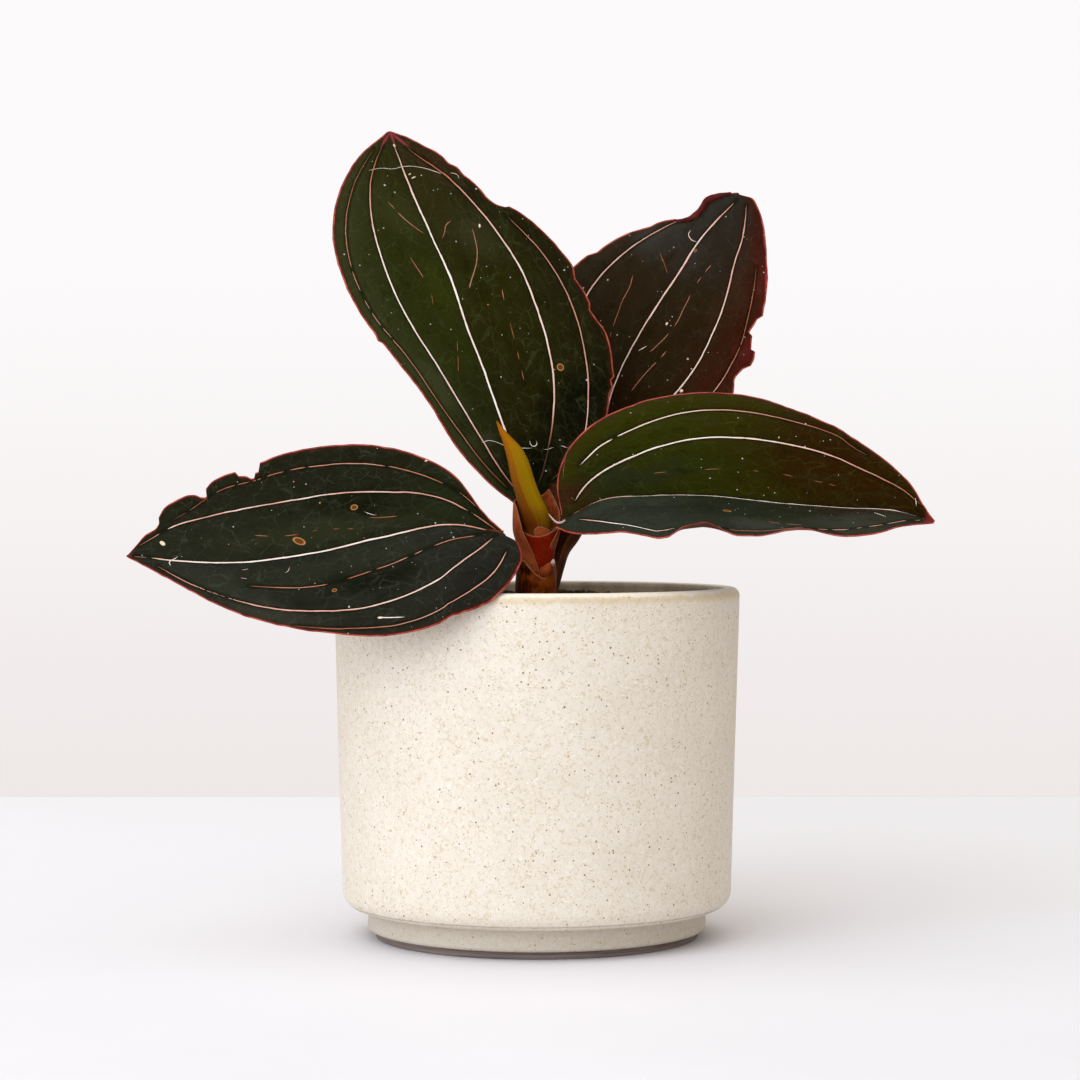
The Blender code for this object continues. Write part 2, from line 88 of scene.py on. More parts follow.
# Flat half outlines as (distance along the midrib, distance from it), split where the margin is
# torn, with each blade's midrib, face, bend and ripple as in the solids. A vein is
# (path, width, tone at the base, tone at the tip, gaps), in the same flat coordinates with the
# right half positive. Tone runs from 0, cream, to 1, copper. Gaps is the share left out.
LEAVES = {
    "leaf_tall": {
        "midrib": [(-1.5, -5, 95.5), (-8, 1, 114), (-15, 8, 134), (-22.5, 14, 153.5), (-30, 18.5, 171),
                   (-34, 20, 181)],
        "face": (0.28, -1, 0),
        "left": [[(0, 2.5), (5, 6.5), (14, 11.5), (29, 16), (39.4, 19.9), (44.4, 21.5)],
                 [(45.2, 22.4), (47.2, 22.5), (49, 23), (60, 25), (73, 23.5), (83, 18.2), (91, 9.5), (95, 0.4)]],
        "right": [[(0, 2.5), (1.4, 3.8), (2.8, 7), (8, 16.5), (16.5, 24.3), (20.6, 26.2)],
                  [(21.9, 27.4), (23.7, 27.6)],
                  [(24.4, 28.5), (28, 29.2), (32, 29.8), (34.6, 29.8), (38, 28.6), (40.4, 27.9)],
                  [(42, 28.5), (45, 28.3), (48.4, 27.5)],
                  [(49.6, 27.8), (51.4, 28), (56.1, 26.7), (60.3, 25), (63.9, 23), (67.2, 20.7), (68.6, 19.4)],
                  [(68.7, 18.5), (69.6, 17.1), (71.5, 15.8), (75, 14.6), (78, 13.3), (79.7, 12.3), (81.5, 11.8),
                   (83, 10.5), (86, 9.2), (88.7, 6.9), (91.5, 4.5), (93.4, 2.4), (95, 0.4)]],
        "bend": ((10, 14), (10, 0)),
        "ripple": ([(0, 0), (40, 0.6), (52, -0.6), (70, 0.5), (95, 0)],
                   [(0, 0), (20, -1), (38, 0.6), (60, -0.5), (95, 0)]),
        "veins": [
            ([(0, 0), (30, 0.2), (44, -0.2), (58, 0.3), (68, -0.2), (91.6, 0)], 0.58, (0.45, 0.15, 0.05, 0, 0, 0.1, 0.5), 0),
            ([(3, -1.5), (8, -3.6), (18, -6.2), (36, -10.5), (50, -13.5), (65, -14.1), (77, -12), (86, -8),
              (92.5, -2.5)], 0.46, (1, 0.5, 0.3, 0.2, 0.1, 0.1, 0.3, 0.8, 1.3), 0),
            ([(5, -4), (10, -6.7), (20, -10.6), (40, -17), (52, -21), (66, -21.7), (77, -18.3), (85, -12.8),
              (92, -5)], 0.32, (1, 0.9, 0.9, 0.75, 0.75, 0.8, 1.1, 1.3), 0.08),
            ([(3, 2.5), (5.5, 4.5), (12, 8.5), (27, 14.4), (41, 16.2), (55, 15.9), (70, 12.4), (80, 8.6),
              (90, 2.5)], 0.48, (1.5, 1.35, 0.35, 0.25, 0.2, 0.2, 0.35, 0.65, 0.95, 1.2), 0),
            ([(4, 6), (7, 12), (13, 17.4), (22, 21.2), (33, 23.5), (46, 24), (57, 21.9), (66.3, 17.9)], 0.38,
             (1.4, 0.7, 0.45, 0.5, 0.65, 0.8, 0.85, 1), 0),
            ([(79, -7.2), (73.6, -5), (69, -2)], 0.27, (0.9, 0.8, 1), 0.3),
            ([(66.4, 9.1), (60.5, 8), (53.2, 3.4)], 0.27, (1, 0.7), 0.05),
            ([(64, -7.4), (58.5, -6.2)], 0.26, (1, 0.8), 0),
            ([(50.6, 10.3), (47.8, 9.8)], 0.27, (0.8, 1), 0),
            ([(60, -4.5), (48, -7)], 0.2, (1, 1), 0.4),
            ([(43, -3.5), (34, -6)], 0.2, (1, 1), 0.5),
            ([(87.7, -11.8), (87.2, -8.4), (87, -5.4), (86.1, -2.7), (85.9, 0.6), (84, 4.2), (82.2, 6.5), (81, 8),
              (80.5, 9.9), (79.8, 10.9), (77.3, 10.8)], 0.1, (0, 0), 0.1),
            ([(16.6, -6.3), (16.8, -4.5), (16, -2.8), (14.8, -1.1), (13.4, 2.2), (12.6, 4.2), (12.3, 6),
              (11.4, 7.2), (11.2, 9.1), (11, 10.9), (10.1, 12.2)], 0.12, (0, 0), 0.3),
            ([(14.3, 4.7), (13.3, 4.7), (12.8, 5.2), (13.2, 5.9), (13.8, 6)], 0.2, (0, 0), 0),
            ([(69.7, 5.3), (69.2, 3.9), (67.5, 2.8), (66.4, 1.8)], 0.24, (0.8, 0.9), 0.1),
            ([(43.5, 9.5), (35, 8.6), (27.8, 7.8)], 0.2, (1, 1), 0.6),
        ],
        "scars": [(29.3, 16.8, 0.85, 0.75, 0, "scar"), (91.4, 0, 0.45, 0.3, 0, "pale"),
                  (66.4, 10.9, 0.45, 0.22, 20, "pale"), (83.8, 0.9, 0.3, 0.14, 80, "pale"),
                  (82.7, 1.4, 0.14, 0.5, 0, "pale"), (93.4, 0.2, 2, 0.35, 0, "crimson"),
                  (92.2, 1.7, 2.6, 0.35, -30, "crimson"), (93.1, -1.8, 1.9, 0.3, 52, "crimson")],
        "tip": 0.982,
        # Patches are (x, y, length, width, angle, tone, strength): partly the leaf's own blotches, partly painted
        # shade and painted sheen.
        "patches": [
            (31, -12, 9, 2.6, -34, (0.034, 0.036, 0.014), 0.8), (17, -4, 3, 1.6, 0, (0.028, 0.029, 0.017), 0.8),
            (20, 19, 12, 7, 70, (0.002, 0.002, 0.001), 0.9), (55, -3.5, 8, 4, 0, (0.024, 0.030, 0.002), 0.65),
            (76, -6, 8, 4, -20, (0.031, 0.034, 0.009), 0.6), (65, 10, 8, 5, -30, (0.027, 0.027, 0.010), 0.6),
            (85, 7, 8, 4.5, -45, (0.031, 0.014, 0.006), 0.75), (24, 5, 9, 4, 0, (0.013, 0.010, 0.001), 0.6),
        ],
    },
    "leaf_left": {
        "midrib": [(-7.5, -36, 90), (-18, -36, 91.5), (-33.5, -35, 88.5), (-50.5, -33, 85), (-67.5, -31, 83.5),
                   (-87.5, -28, 85)],
        "face": (0, -0.85, 0.5),
        "left": [[(-0.6, 0.8), (-3, 1.4), (-4.3, 3), (-5.1, 5.2)], [(-5.2, 6.6), (-4.7, 8.5)],
                 [(-4.3, 10.1), (-2.9, 13), (-1.4, 15.4), (1.2, 18.4), (4.4, 20.6), (9, 22.3), (15, 23.4),
                  (27, 23.4), (40, 19.6), (54, 14), (68, 6.4), (81, 0.4)]],
        "right": [[(0, 0.8), (5, 4.6), (12, 13.6), (20, 20), (31, 23.2), (42, 24.4), (48.4, 23.9), (52, 23)],
                  [(52.4, 20.9), (53.2, 20.7)],
                  [(53.5, 19.4), (54.2, 19.4), (55.5, 20.1), (57.6, 20.3)],
                  [(58.6, 21.2), (62.6, 20.3), (65.4, 18.8), (66.6, 17.3)],
                  [(66, 16.3), (66, 15.5), (67, 15.2), (69.1, 15.6), (71, 15.3), (73.8, 13.6), (75.5, 11.8),
                   (76.2, 9.6)],
                  [(75.8, 8.4), (76.3, 6.9), (78.2, 5.3), (79.6, 2.8), (81, 0.4)]],
        "bend": ((8, -6), (8, 8)),
        "ripple": ([(0, 0), (81, 0)], [(0, 0), (30, 0.5), (50, -0.5), (81, 0)]),
        "veins": [
            ([(0, 0), (30, 0.15), (52, -0.15), (79.6, 0)], 0.5, (0.8, 0.55, 0.25, 0.1, 0.05, 0.05, 0.1, 0.3, 0.8), 0),
            ([(0.8, 0.3), (7.7, 3.6), (16, 7.8), (26, 10.8), (40, 12.7), (52, 12.4), (65, 10.5), (73, 7.3),
              (79, 2.5)], 0.38, (0.95, 0.8, 0.65, 0.3, 0.65, 0.2, 0.6, 0.2, 0.65, 0.4, 0.95), 0),
            ([(4.5, 3.5), (11.9, 9.5), (21.4, 15.7), (32, 18.8), (44, 19.8), (54, 18.6), (63, 16.4),
              (73, 9)], 0.32, (0.95, 0.85, 0.8, 0.85, 0.8, 0.95, 1.1, 1.3), 0.12),
            ([(3, -1.2), (11.7, -4.2), (21, -6.5), (30, -8), (42, -8.4), (54, -6.5)], 0.32,
             (1, 0.7, 0.9, 0.8, 1), 0.3),
            ([(1, -1), (5, -6.6), (11, -12), (20, -14.8), (31, -16), (40, -14.6), (52, -11.5), (63, -6.9),
              (74, -2)], 0.42, (0.7, 0.45, 0.2, 0.3, 0.6, 0.45, 0.65, 0.75, 1), 0),
            ([(-1.8, -4.6), (-0.6, -8.5), (2, -13), (7, -17.8), (14, -20.2), (24, -21.3), (36.5, -19.4),
              (45, -17)], 0.34, (0.55, 0.65, 0.7, 0.85, 1, 1.1), 0),
            ([(57, 6.4), (45.4, 4.9), (38.6, 4.9), (30.3, 3.2)], 0.24, (1, 1.1), 0.45),
            ([(29.6, 5.5), (21.3, 4)], 0.24, (1, 1), 0.3),
            ([(28.5, 6.8), (26.5, 5.6), (25.8, 5.4)], 0.3, (0, 0.1), 0.1),
            ([(70, 0.8), (71.5, -0.8), (70.8, -1.9)], 0.24, (0.1, 0.2), 0.2),
            ([(54.5, -2.2), (56.5, -2.8), (56, -4.2), (54.6, -4.6)], 0.24, (0.3, 0.3), 0.3),
            ([(45.5, -2.4), (46, -3.9), (47.4, -4.3)], 0.24, (0.3, 0.3), 0.3),
            ([(27.8, -19.1), (26.2, -19.4), (23.4, -20)], 0.24, (0, 0.1), 0),
        ],
        "scars": [(43.3, 3.2, 1.5, 0.72, 30, "scar"), (30.3, 8.2, 0.75, 0.6, 0, "scar"),
                  (74.0, 3.5, 0.7, 0.4, 30, "pale"), (36.5, -10.5, 0.5, 0.4, 0, "scar"), (27.6, -19.1, 0.6, 0.22, 10, "pale"),
                  (13.8, 15.6, 0.9, 0.25, -40, "pale")],
        "tip": 0.978,
        "patches": [
            (28, -9.5, 11, 3.2, 5, (0.002, 0.0025, 0.0015), 0.9), (29, 9.5, 11, 3.8, 10, (0.002, 0.003, 0.001), 0.9),
            (38, 17, 9, 3.5, 0, (0.006, 0.006, 0.0035), 0.75), (50, -14, 11, 4, 25, (0.026, 0.026, 0.019), 0.8),
            (38, 4.2, 24, 2.6, 2, (0.017, 0.019, 0.008), 0.65), (35, -4.4, 25, 2.6, 0, (0.0165, 0.0185, 0.0105), 0.55),
            (62, -6, 8, 4, 20, (0.020, 0.022, 0.015), 0.6), (10, 8, 8, 6, 45, (0.011, 0.0145, 0.005), 0.5),
        ],
    },
    "leaf_right": {
        "midrib": [(6, -14, 92.5), (14, -14, 96.5), (24.5, -13, 97.5), (38, -13, 97.5), (52, -14, 96),
                   (65.5, -15, 95), (79, -16, 94), (86, -17, 92)],
        "face": (0, -0.7, 0.7),
        "left": [[(0, 1.5), (1.6, 6.5), (6, 13), (13, 20.5), (23, 25), (34, 26.6), (46, 25), (57, 21.2),
                  (66, 16), (74, 8.5), (80, 2), (82, 0.4)]],
        "right": [[(-2.5, 1.5), (-0.5, 7), (4, 13.5), (11, 20), (20, 22.5), (32, 22), (44, 20.6), (54, 17),
                   (62, 15.6), (69, 14), (76, 7.5), (82, 0.4)]],
        "bend": ((25, 10), (26, 19)),
        "ripple": ([(0, 0), (82, 0)],
                   [(0, 0), (10, 0.8), (19, -0.8), (31, 1.4), (40, -0.6), (52, 1.2), (62, -1.4), (72, 0.6),
                    (82, 0)]),
        "veins": [
            ([(0, 0), (40, 0), (79.5, 0)], 0.48, (0.9, 0.4, 0.1, 0.05, 0.05, 0.05, 0.1, 0.4), 0),
            ([(7.6, -9.5), (12, -13.4), (20.7, -18), (29, -20.8), (38, -21.6), (48, -20.6), (58.7, -17.8),
              (67, -13)], 0.34, (0.1, 0.1, 0.2, 0.45, 0.7, 0.9, 1, 1.2), 0.06),
            ([(4, -2.5), (7, -4.4), (14, -8.3), (24, -12.2), (36, -14.6), (48, -14.5), (60, -11.8), (70, -7.2),
              (78, -3)], 0.42, (0.4, 0.1, 0.05, 0.15, 0.1, 0.3, 0.55, 0.75, 0.95), 0),
            ([(4, -2.5), (3.2, -5.5), (5, -10), (7.6, -15)], 0.22, (1.3, 1.25, 1.4), 0.1),
            ([(18, -5), (28, -5.9), (42, -6.9), (50, -6.6), (60, -5)], 0.24, (1, 1.1), 0.5),
            ([(3, 4), (6, 9), (11, 16), (18, 19), (24, 19.4)], 0.36, (0.8, 0.3, 0.05, 0.1, 0.3), 0),
            ([(26, 19.5), (34, 18.9), (44, 17.5), (52, 15.7), (62, 12.4), (70, 9.5), (76, 4.5),
              (79, 1.5)], 0.30, (0.5, 0.9, 0.8, 0.4, 0.5, 0.4), 0.25),
            ([(46, 12.5), (50, 13.2), (53, 13.4)], 0.2, (0.9, 1), 0.3),
            ([(76.5, -4.2), (77.2, -2.2)], 0.22, (0, 0), 0),
            ([(68.5, 3.2), (71, 5.2)], 0.22, (0.1, 0.1), 0.2),
        ],
        "scars": [(36.9, 9.1, 0.95, 0.5, 0, "scar")],
        "tip": 0.968,
        "patches": [
            (60, -12, 21, 15, 10, (0.0178, 0.0046, 0.0003), 0.95), (19, -17, 13, 9, 0, (0.0185, 0.0215, 0.0005), 0.8),
            (14, 4, 14, 2.6, 0, (0.023, 0.0285, 0.0185), 0.85), (63, 8, 10, 4, -20, (0.030, 0.030, 0.022), 0.8),
            (46, 5, 9, 3, 0, (0.0115, 0.0125, 0.0065), 0.7), (43, 14, 6, 2.6, 0, (0.034, 0.035, 0.028), 0.7),
            (18, -5, 12, 3.4, -12, (0.0125, 0.0165, 0.006), 0.7), (2.6, -4, 4.6, 4.2, 0, (0.028, 0.008, 0.003), 1.0),
            (28, 9, 20, 2.4, 0, (0.0100, 0.0125, 0.0075), 0.6),
        ],
        "roll": (None, [(0, 0), (22, 0), (26, 0.5), (32, 0.62), (39, 0.2), (45, 0.12), (50, 0.3), (55, 0.3),
                        (60, 0.05), (63, 0), (82, 0)]),
    },
    "leaf_back": {
        "midrib": [(14, 30, 103.5), (18, 34, 123), (25, 37, 137.5), (33, 39, 150.5), (40.5, 40, 161),
                   (47.5, 40, 169)],
        "face": (-0.2, -1, 0),
        "left": [[(0, 1.5), (4, 9), (12, 17.5), (24, 22.4), (36, 22.2), (41, 21.2), (44, 20)],
                 [(45.8, 18.4), (48.7, 17.3), (51.9, 15.6), (56, 12.5)], [(57.2, 11.4), (60.1, 9.4), (61.8, 7.6)],
                 [(62.5, 5.9), (64, 4.9), (66.6, 4.2)], [(67.2, 4.5), (69.7, 4.8), (72, 3.6), (75.5, 0.4)]],
        "right": [[(0, 1.5), (4, 9.5), (12, 19), (22, 25.4), (27, 27), (30.1, 27.4)],
                  [(32, 26.8), (33.7, 26.1), (37.6, 26.5)], [(39.5, 27.6), (42, 27.4), (44, 26.7)],
                  [(44, 25.6), (47.4, 24.2)], [(47.8, 23.2), (51.9, 23.1)],
                  [(53.3, 23.8), (61.1, 20.4), (66.6, 17.1), (71.4, 13), (74.9, 8.3), (76.2, 5.6), (76.8, 3.6),
                   (76.3, 2.2), (75.5, 0.4)]],
        "bend": ((12, 4), (12, 4)),
        "ripple": ([(0, 0), (75, 0)], [(0, 0), (30, 0.8), (45, -1), (60, 0.8), (75, 0)]),
        "veins": [
            ([(0, 0), (30, 0.1), (50, 0.7), (60, 0.3), (74, 0.9)], 0.54, (0.15, 0.15, 0.2, 0.25, 0.3, 0.35, 0.7), 0),
            ([(2, -1.5), (10, -7), (22, -12.8), (37, -15.1), (48, -13), (58, -8.8), (63, -6)], 0.42,
             (0.3, 0.25, 0.3, 0.35, 0.5, 0.8), 0),
            ([(2, 1.5), (10, 8.5), (22.8, 14.6), (32.3, 16.2), (42, 15.8), (51, 14.2), (61, 10.7), (68.6, 8),
              (74.7, 3.6)], 0.46, (0.1, 0.1, 0.15, 0.25, 0.35, 0.5, 0.9), 0),
            ([(3, 4), (10, 14), (18, 20.5), (27.5, 22.9), (35, 23.4), (42.7, 23), (51, 20.8), (58.7, 18),
              (63.7, 15.5)], 0.34, (0.5, 0.45, 0.5, 0.7, 1, 1.1, 1.3), 0),
            ([(27.9, 2.8), (33.8, 5.6), (40, 6.9), (46, 6.5), (51.9, 6), (57.5, 6.4)], 0.27, (0.7, 0.95, 0.9), 0.3),
            ([(17.9, 3.9), (25.2, 6), (30.2, 7.5), (33.2, 8.2)], 0.27, (1, 0.8), 0.4),
            ([(30.6, -5.7), (35.4, -6.6), (39.4, -7.3), (42.7, -7.4), (45.9, -8.3)], 0.27, (0.9, 1), 0.35),
            ([(53.4, -5.8), (52, -3.7), (50.3, -1.5)], 0.2, (1, 1), 0.1),
            ([(30.5, 2.1), (32.5, 3.5)], 0.26, (0.1, 0.1), 0),
            ([(62.2, -2.9), (60.7, -2.8), (60, -1.5), (60.3, -0.1)], 0.24, (0.2, 0.2), 0),
        ],
        "scars": [(24.6, 15.9, 0.5, 0.4, 0, "pale"), (58.5, 1.0, 0.4, 0.3, 0, "scar"), (39.5, 5, 0.4, 0.25, 0, "pale"),
                  (71.6, 12.7, 3.8, 0.6, -45, "crimson"), (61.5, 19.8, 5.5, 0.45, -30, "crimson")],
        "tip": 1.2,
        "patches": [
            (57, -9, 7, 4, 0, (0.034, 0.034, 0.029), 0.75), (50, 14, 9, 3, 0, (0.030, 0.013, 0.007), 0.5),
            (55, 1.5, 6, 3, 0, (0.030, 0.028, 0.024), 0.5), (60, 19, 12, 1.5, -30, (0.07, 0.008, 0.007), 0.7),
            (44, 25, 7, 2, 0, (0.085, 0.008, 0.008), 0.8),
        ],
        "curl": [(61.5, -6.9, 0.35), (63.5, -4.9, 0.6), (66.5, -4.0, 0.75), (69.7, -4.2, 0.85), (72, -3.0, 0.7),
                 (74.4, -1.2, 0.4)],
    },
}

SHEATH_THICKNESS = 0.8

# Looser copies of the solids' shapes, which only the dressed model needs.
FINE_SHEATH = [(81.2, 3.15, 190, 170), (83.5, 3.15, 177, 154), (85.4, 3.6, 166, 141), (88, 4.5, 152, 130),
               (90.2, 5.05, 142, 114), (92.3, 5.1, 134, 98), (94.2, 5.05, 125, 82), (95.2, 5.0, 118, 69),
               (96.5, 4.95, 90, 57), (97.3, 4.9, 20, 50), (98, 4.85, -14, 44), (98.8, 4.8, -28, 37),
               (99.2, 4.8, -32, 34)]
FINE_NEW_LEAF = [(0.2, -10, 88.2, 2.55), (0.2, -10.1, 90.2, 2.75), (0, -10.3, 92, 3.1), (-0.6, -10.5, 94.3, 3.15),
                 (-1.6, -10.5, 97, 2.75), (-2.9, -10.3, 100.8, 2.5), (-4.3, -10, 106, 2.15),
                 (-5.3, -9.7, 108.4, 1.8), (-6.5, -9.4, 110.3, 1.2), (-7.5, -9.1, 111.8, 0.8),
                 (-8.8, -8.8, 114.2, 0.12)]
FINE_STALKS = {
    "leaf_left": [(-2.5, -12.5, 82.2, 0.8), (-5.0, -15.5, 83.6, 1.1), (-6.3, -22, 86.0, 1.15),
                  (-7.2, -29, 87.9, 1.15), (-8.5, -35.3, 89.6, 1.0)],
    "leaf_right": [(3.2, -8, 79.5, 0.9), (4.0, -7, 83.6, 0.95), (4.9, -7, 87.1, 1.1), (6.4, -9, 90.4, 1.25),
                   (8.0, -12.6, 93.2, 1.1)],
    "leaf_back": [(3.4, -3, 75.9, 0.95), (4.2, -1, 78.4, 0.95), (5.3, 3, 82.3, 1.0), (6.2, 8, 85.4, 1.25),
                  (8.15, 13, 88.7, 1.65), (11.6, 21, 95.5, 1.5), (14, 29.4, 103, 1.1)],
}
THIN_VEIN = 0.28
LEAF_SHEEN = (1.0, 0.9, 0.25)
STALK_SHEEN = (1.0, 0.55, 0.3)
BACK_CHIPS = [(-12.5, 1.7, 75.2), (-9.5, 1.4, 75.3), (-6.7, 1.6, 75.4), (-2.5, 2.4, 75.5), (1.5, 1.8, 75.4),
              (5.5, 1.6, 75.75), (7.9, 1.0, 75.4), (10, 1.5, 75.6), (13, 1.5, 75.4), (16, 1.6, 75.3),
              (18.5, 1.5, 75.1)]
ROLL_WIDTH = 5.0


def unit(vectors):
    return vectors / np.maximum(np.linalg.norm(vectors, axis=-1, keepdims=True), 1e-9)


def smooth_curve(points, count):
    """Evenly spaced points along a smooth curve through the given ones."""
    points = np.array(points, float)
    if len(points) == 2:
        return points[0] + np.linspace(0, 1, count)[:, None] * (points[1] - points[0])
    gaps = np.linalg.norm(np.diff(points[:, :3], axis=0), axis=1)
    knots = np.concatenate([[0], np.cumsum(gaps)])
    slopes = np.gradient(points, knots, axis=0)
    fine = np.linspace(0, knots[-1], 400)
    k = np.clip(np.searchsorted(knots, fine, side="right") - 1, 0, len(gaps) - 1)
    h = gaps[k][:, None]
    f = (fine[:, None] - knots[k][:, None]) / h
    curve = ((2 * f**3 - 3 * f**2 + 1) * points[k] + (f**3 - 2 * f**2 + f) * h * slopes[k]
             + (3 * f**2 - 2 * f**3) * points[k + 1] + (f**3 - f**2) * h * slopes[k + 1])
    return resample(curve, count)


def run_of(curve):
    """Arc length at each point of a polyline."""
    return np.concatenate([[0], np.cumsum(np.linalg.norm(np.diff(curve[:, :3], axis=0), axis=1))])


def resample(curve, count, corners=()):
    """Evenly spaced points along a fine polyline, with the nearest ones moved onto its corners."""
    run = run_of(curve)
    at = np.linspace(0, run[-1], count)
    for corner in corners:
        at[np.abs(at - run[corner]).argmin()] = run[corner]
    return np.stack([np.interp(at, run, column) for column in curve.T], -1)


def margin(runs, count, seed=0):
    """A half outline as evenly spaced flat points, with its tears kept sharp and a slightly worn edge."""
    pieces = [smooth_curve(run, MARGIN_SAMPLES) for run in runs]
    ends = np.cumsum([len(piece) for piece in pieces])[:-1]
    corners = [corner for end in ends for corner in (end - 1, end)]
    line = resample(np.concatenate(pieces), count, corners)
    run = run_of(line)
    worn = 0.07 * (1 + wander(seed, 1.7)(run)) + 0.05 * (1 + wander(seed + 1, 5.0)(run))
    fade = np.clip(np.minimum(run, run[-1] - run) / 4, 0, 1)
    line[:, 1] = np.maximum(line[:, 1] - worn * fade, 0.3)
    return line


def wander(seed, spacing):
    """A smooth random function of one length, about -1 to 1."""
    values = np.random.default_rng(seed).uniform(-1, 1, 600)

    def value(s):
        at = np.asarray(s, float) / spacing + 50
        low = np.floor(at).astype(int)
        share = at - low
        share = share * share * (3 - 2 * share)
        return values[low] * (1 - share) + values[low + 1] * share

    return value


class Blade:
    """Bends flat leaf coordinates into space."""

    def __init__(self, shape):
        self.line = smooth_curve(shape["midrib"], 201)
        self.along = run_of(self.line)
        self.length = self.along[-1]
        self.tangent = unit(np.gradient(self.line, axis=0))
        face = np.array(shape["face"], float)
        self.normal = unit(face - (self.tangent @ face)[:, None] * self.tangent)
        self.across = np.cross(self.tangent, self.normal)
        self.bend = shape["bend"]
        self.ripple = shape["ripple"]
        self.rolls = shape.get("roll", (None, None))
        self.edges = [margin(shape[side], 200) for side in ("left", "right")]

    def at(self, values, x):
        return np.stack([np.interp(x, self.along, column) for column in values.T], -1)

    def place(self, x, y):
        """The point x along the midrib and y across, where y is positive on the right half."""
        tangent = self.at(self.tangent, x)
        normal = self.at(self.normal, x)
        across = self.at(self.across, x)
        past_end = x - np.clip(x, 0, self.length)
        out = np.zeros_like(x)
        lift = np.zeros_like(x)
        for side, (start, end), ripple, roll, edge in zip((-1, 1), self.bend, self.ripple, self.rolls, self.edges):
            half = y * side >= 0
            width = np.abs(y)
            turn = math.radians(end - start) * width / FOLD_WIDTH / 2
            chord = width * np.sinc(turn / math.pi)
            stations, heights = np.array(ripple, float).T
            wave = np.interp(x, stations, heights) * (width / FOLD_WIDTH) ** 2
            angle = math.radians(start) + turn
            reach, height = chord * np.cos(angle), chord * np.sin(angle) + wave
            if roll:
                stations, amounts = np.array(roll, float).T
                amount = np.interp(x, stations, amounts)
                over = np.clip(width - np.interp(x, edge[:, 0], edge[:, 1]) + ROLL_WIDTH, 0, 2 * ROLL_WIDTH)
                curl = amount * over**2 / ROLL_WIDTH
                height = height + curl * 0.75
                reach = reach - curl * 0.3
            out = np.where(half, side * reach, out)
            lift = np.where(half, height, lift)
        return (self.at(self.line, x) + past_end[:, None] * tangent + out[:, None] * across
                + lift[:, None] * normal)

    def upward(self, x, y):
        """The upper face's normal, from small steps along and across."""
        step = 0.2
        along = self.place(x + step, y) - self.place(x - step, y)
        across = self.place(x, y + step) - self.place(x, y - step)
        return unit(np.cross(across, along))


class Mesh:
    """Collects points and faces in millimetres, each with a material index and two vector attributes."""

    def __init__(self):
        self.points = []
        self.faces = []
        self.slots = []
        self.flat = []
        self.zone = []

    def add(self, points, faces, slot=0, flat=None, zone=None):
        start = len(self.points)
        points = np.asarray(points, float)
        self.points.extend(points.tolist())
        self.faces.extend([[start + i for i in face] for face in faces])
        self.slots.extend(slot if hasattr(slot, "__len__") else [slot] * len(faces))
        for store, values in ((self.flat, flat), (self.zone, zone)):
            store.extend((np.zeros_like(points) if values is None else values).tolist())

    def build(self, name, materials, sharp=50):
        mesh = bpy.data.meshes.new(name)
        mesh.from_pydata((np.array(self.points) * MM).tolist(), [], self.faces)
        for label, values in (("flat", self.flat), ("zone", self.zone)):
            layer = mesh.attributes.new(label, "FLOAT_VECTOR", "POINT")
            layer.data.foreach_set("vector", np.array(values, np.float32).ravel())
        mesh.polygons.foreach_set("material_index", np.array(self.slots, np.int32))
        for material in materials:
            mesh.materials.append(material)
        mesh.shade_smooth()
        mesh.set_sharp_from_angle(angle=math.radians(sharp))
        obj = bpy.data.objects.new(name, mesh)
        bpy.context.scene.collection.objects.link(obj)
        return obj


def grid_faces(rows, columns, start=0, closed=False, flip=False):
    """Quads between rows of points, wrapping round when closed."""
    faces = []
    for i in range(rows - 1):
        for j in range(columns if closed else columns - 1):
            a = start + i * columns + j
            b = start + i * columns + (j + 1) % columns
            quad = [a, b, b + columns, a + columns]
            faces.append(quad[::-1] if flip else quad)
    return faces


def loft(rings, caps=True):
    """Points and faces of a closed tube through rings of points."""
    rings = np.array(rings)
    rows, columns = rings.shape[:2]
    faces = grid_faces(rows, columns, closed=True)
    if caps:
        faces.append(list(range(columns))[::-1])
        faces.append([(rows - 1) * columns + i for i in range(columns)])
    return rings.reshape(-1, 3), faces


def frames_along(line):
    """Tangents of a line, with two steady directions square to them."""
    tangents = unit(np.gradient(line, axis=0))
    side = np.array([0.3, 1, 0.2])
    sides = []
    for tangent in tangents:
        side = side - side @ tangent * tangent
        side = side / np.linalg.norm(side)
        sides.append(side)
    sides = np.array(sides)
    return tangents, sides, np.cross(tangents, sides)


def tube_rings(path, samples, sides, shape=None):
    """Rings round a path of (x, y, z, radius). Shape may change the radius by share and turn."""
    spine = smooth_curve(path, samples)
    _, side, other = frames_along(spine[:, :3])
    turns = np.linspace(0, 2 * math.pi, sides, endpoint=False)
    rings = []
    for i, row in enumerate(spine):
        radius = row[3] * (1 if shape is None else shape(i / (samples - 1), turns))
        ring = row[:3] + (np.cos(turns) * radius)[:, None] * side[i] + (np.sin(turns) * radius)[:, None] * other[i]
        rings.append(ring)
    return rings


def new_material(name, slot_name=None):
    material = bpy.data.materials.new(name)
    material.use_nodes = True
    return material


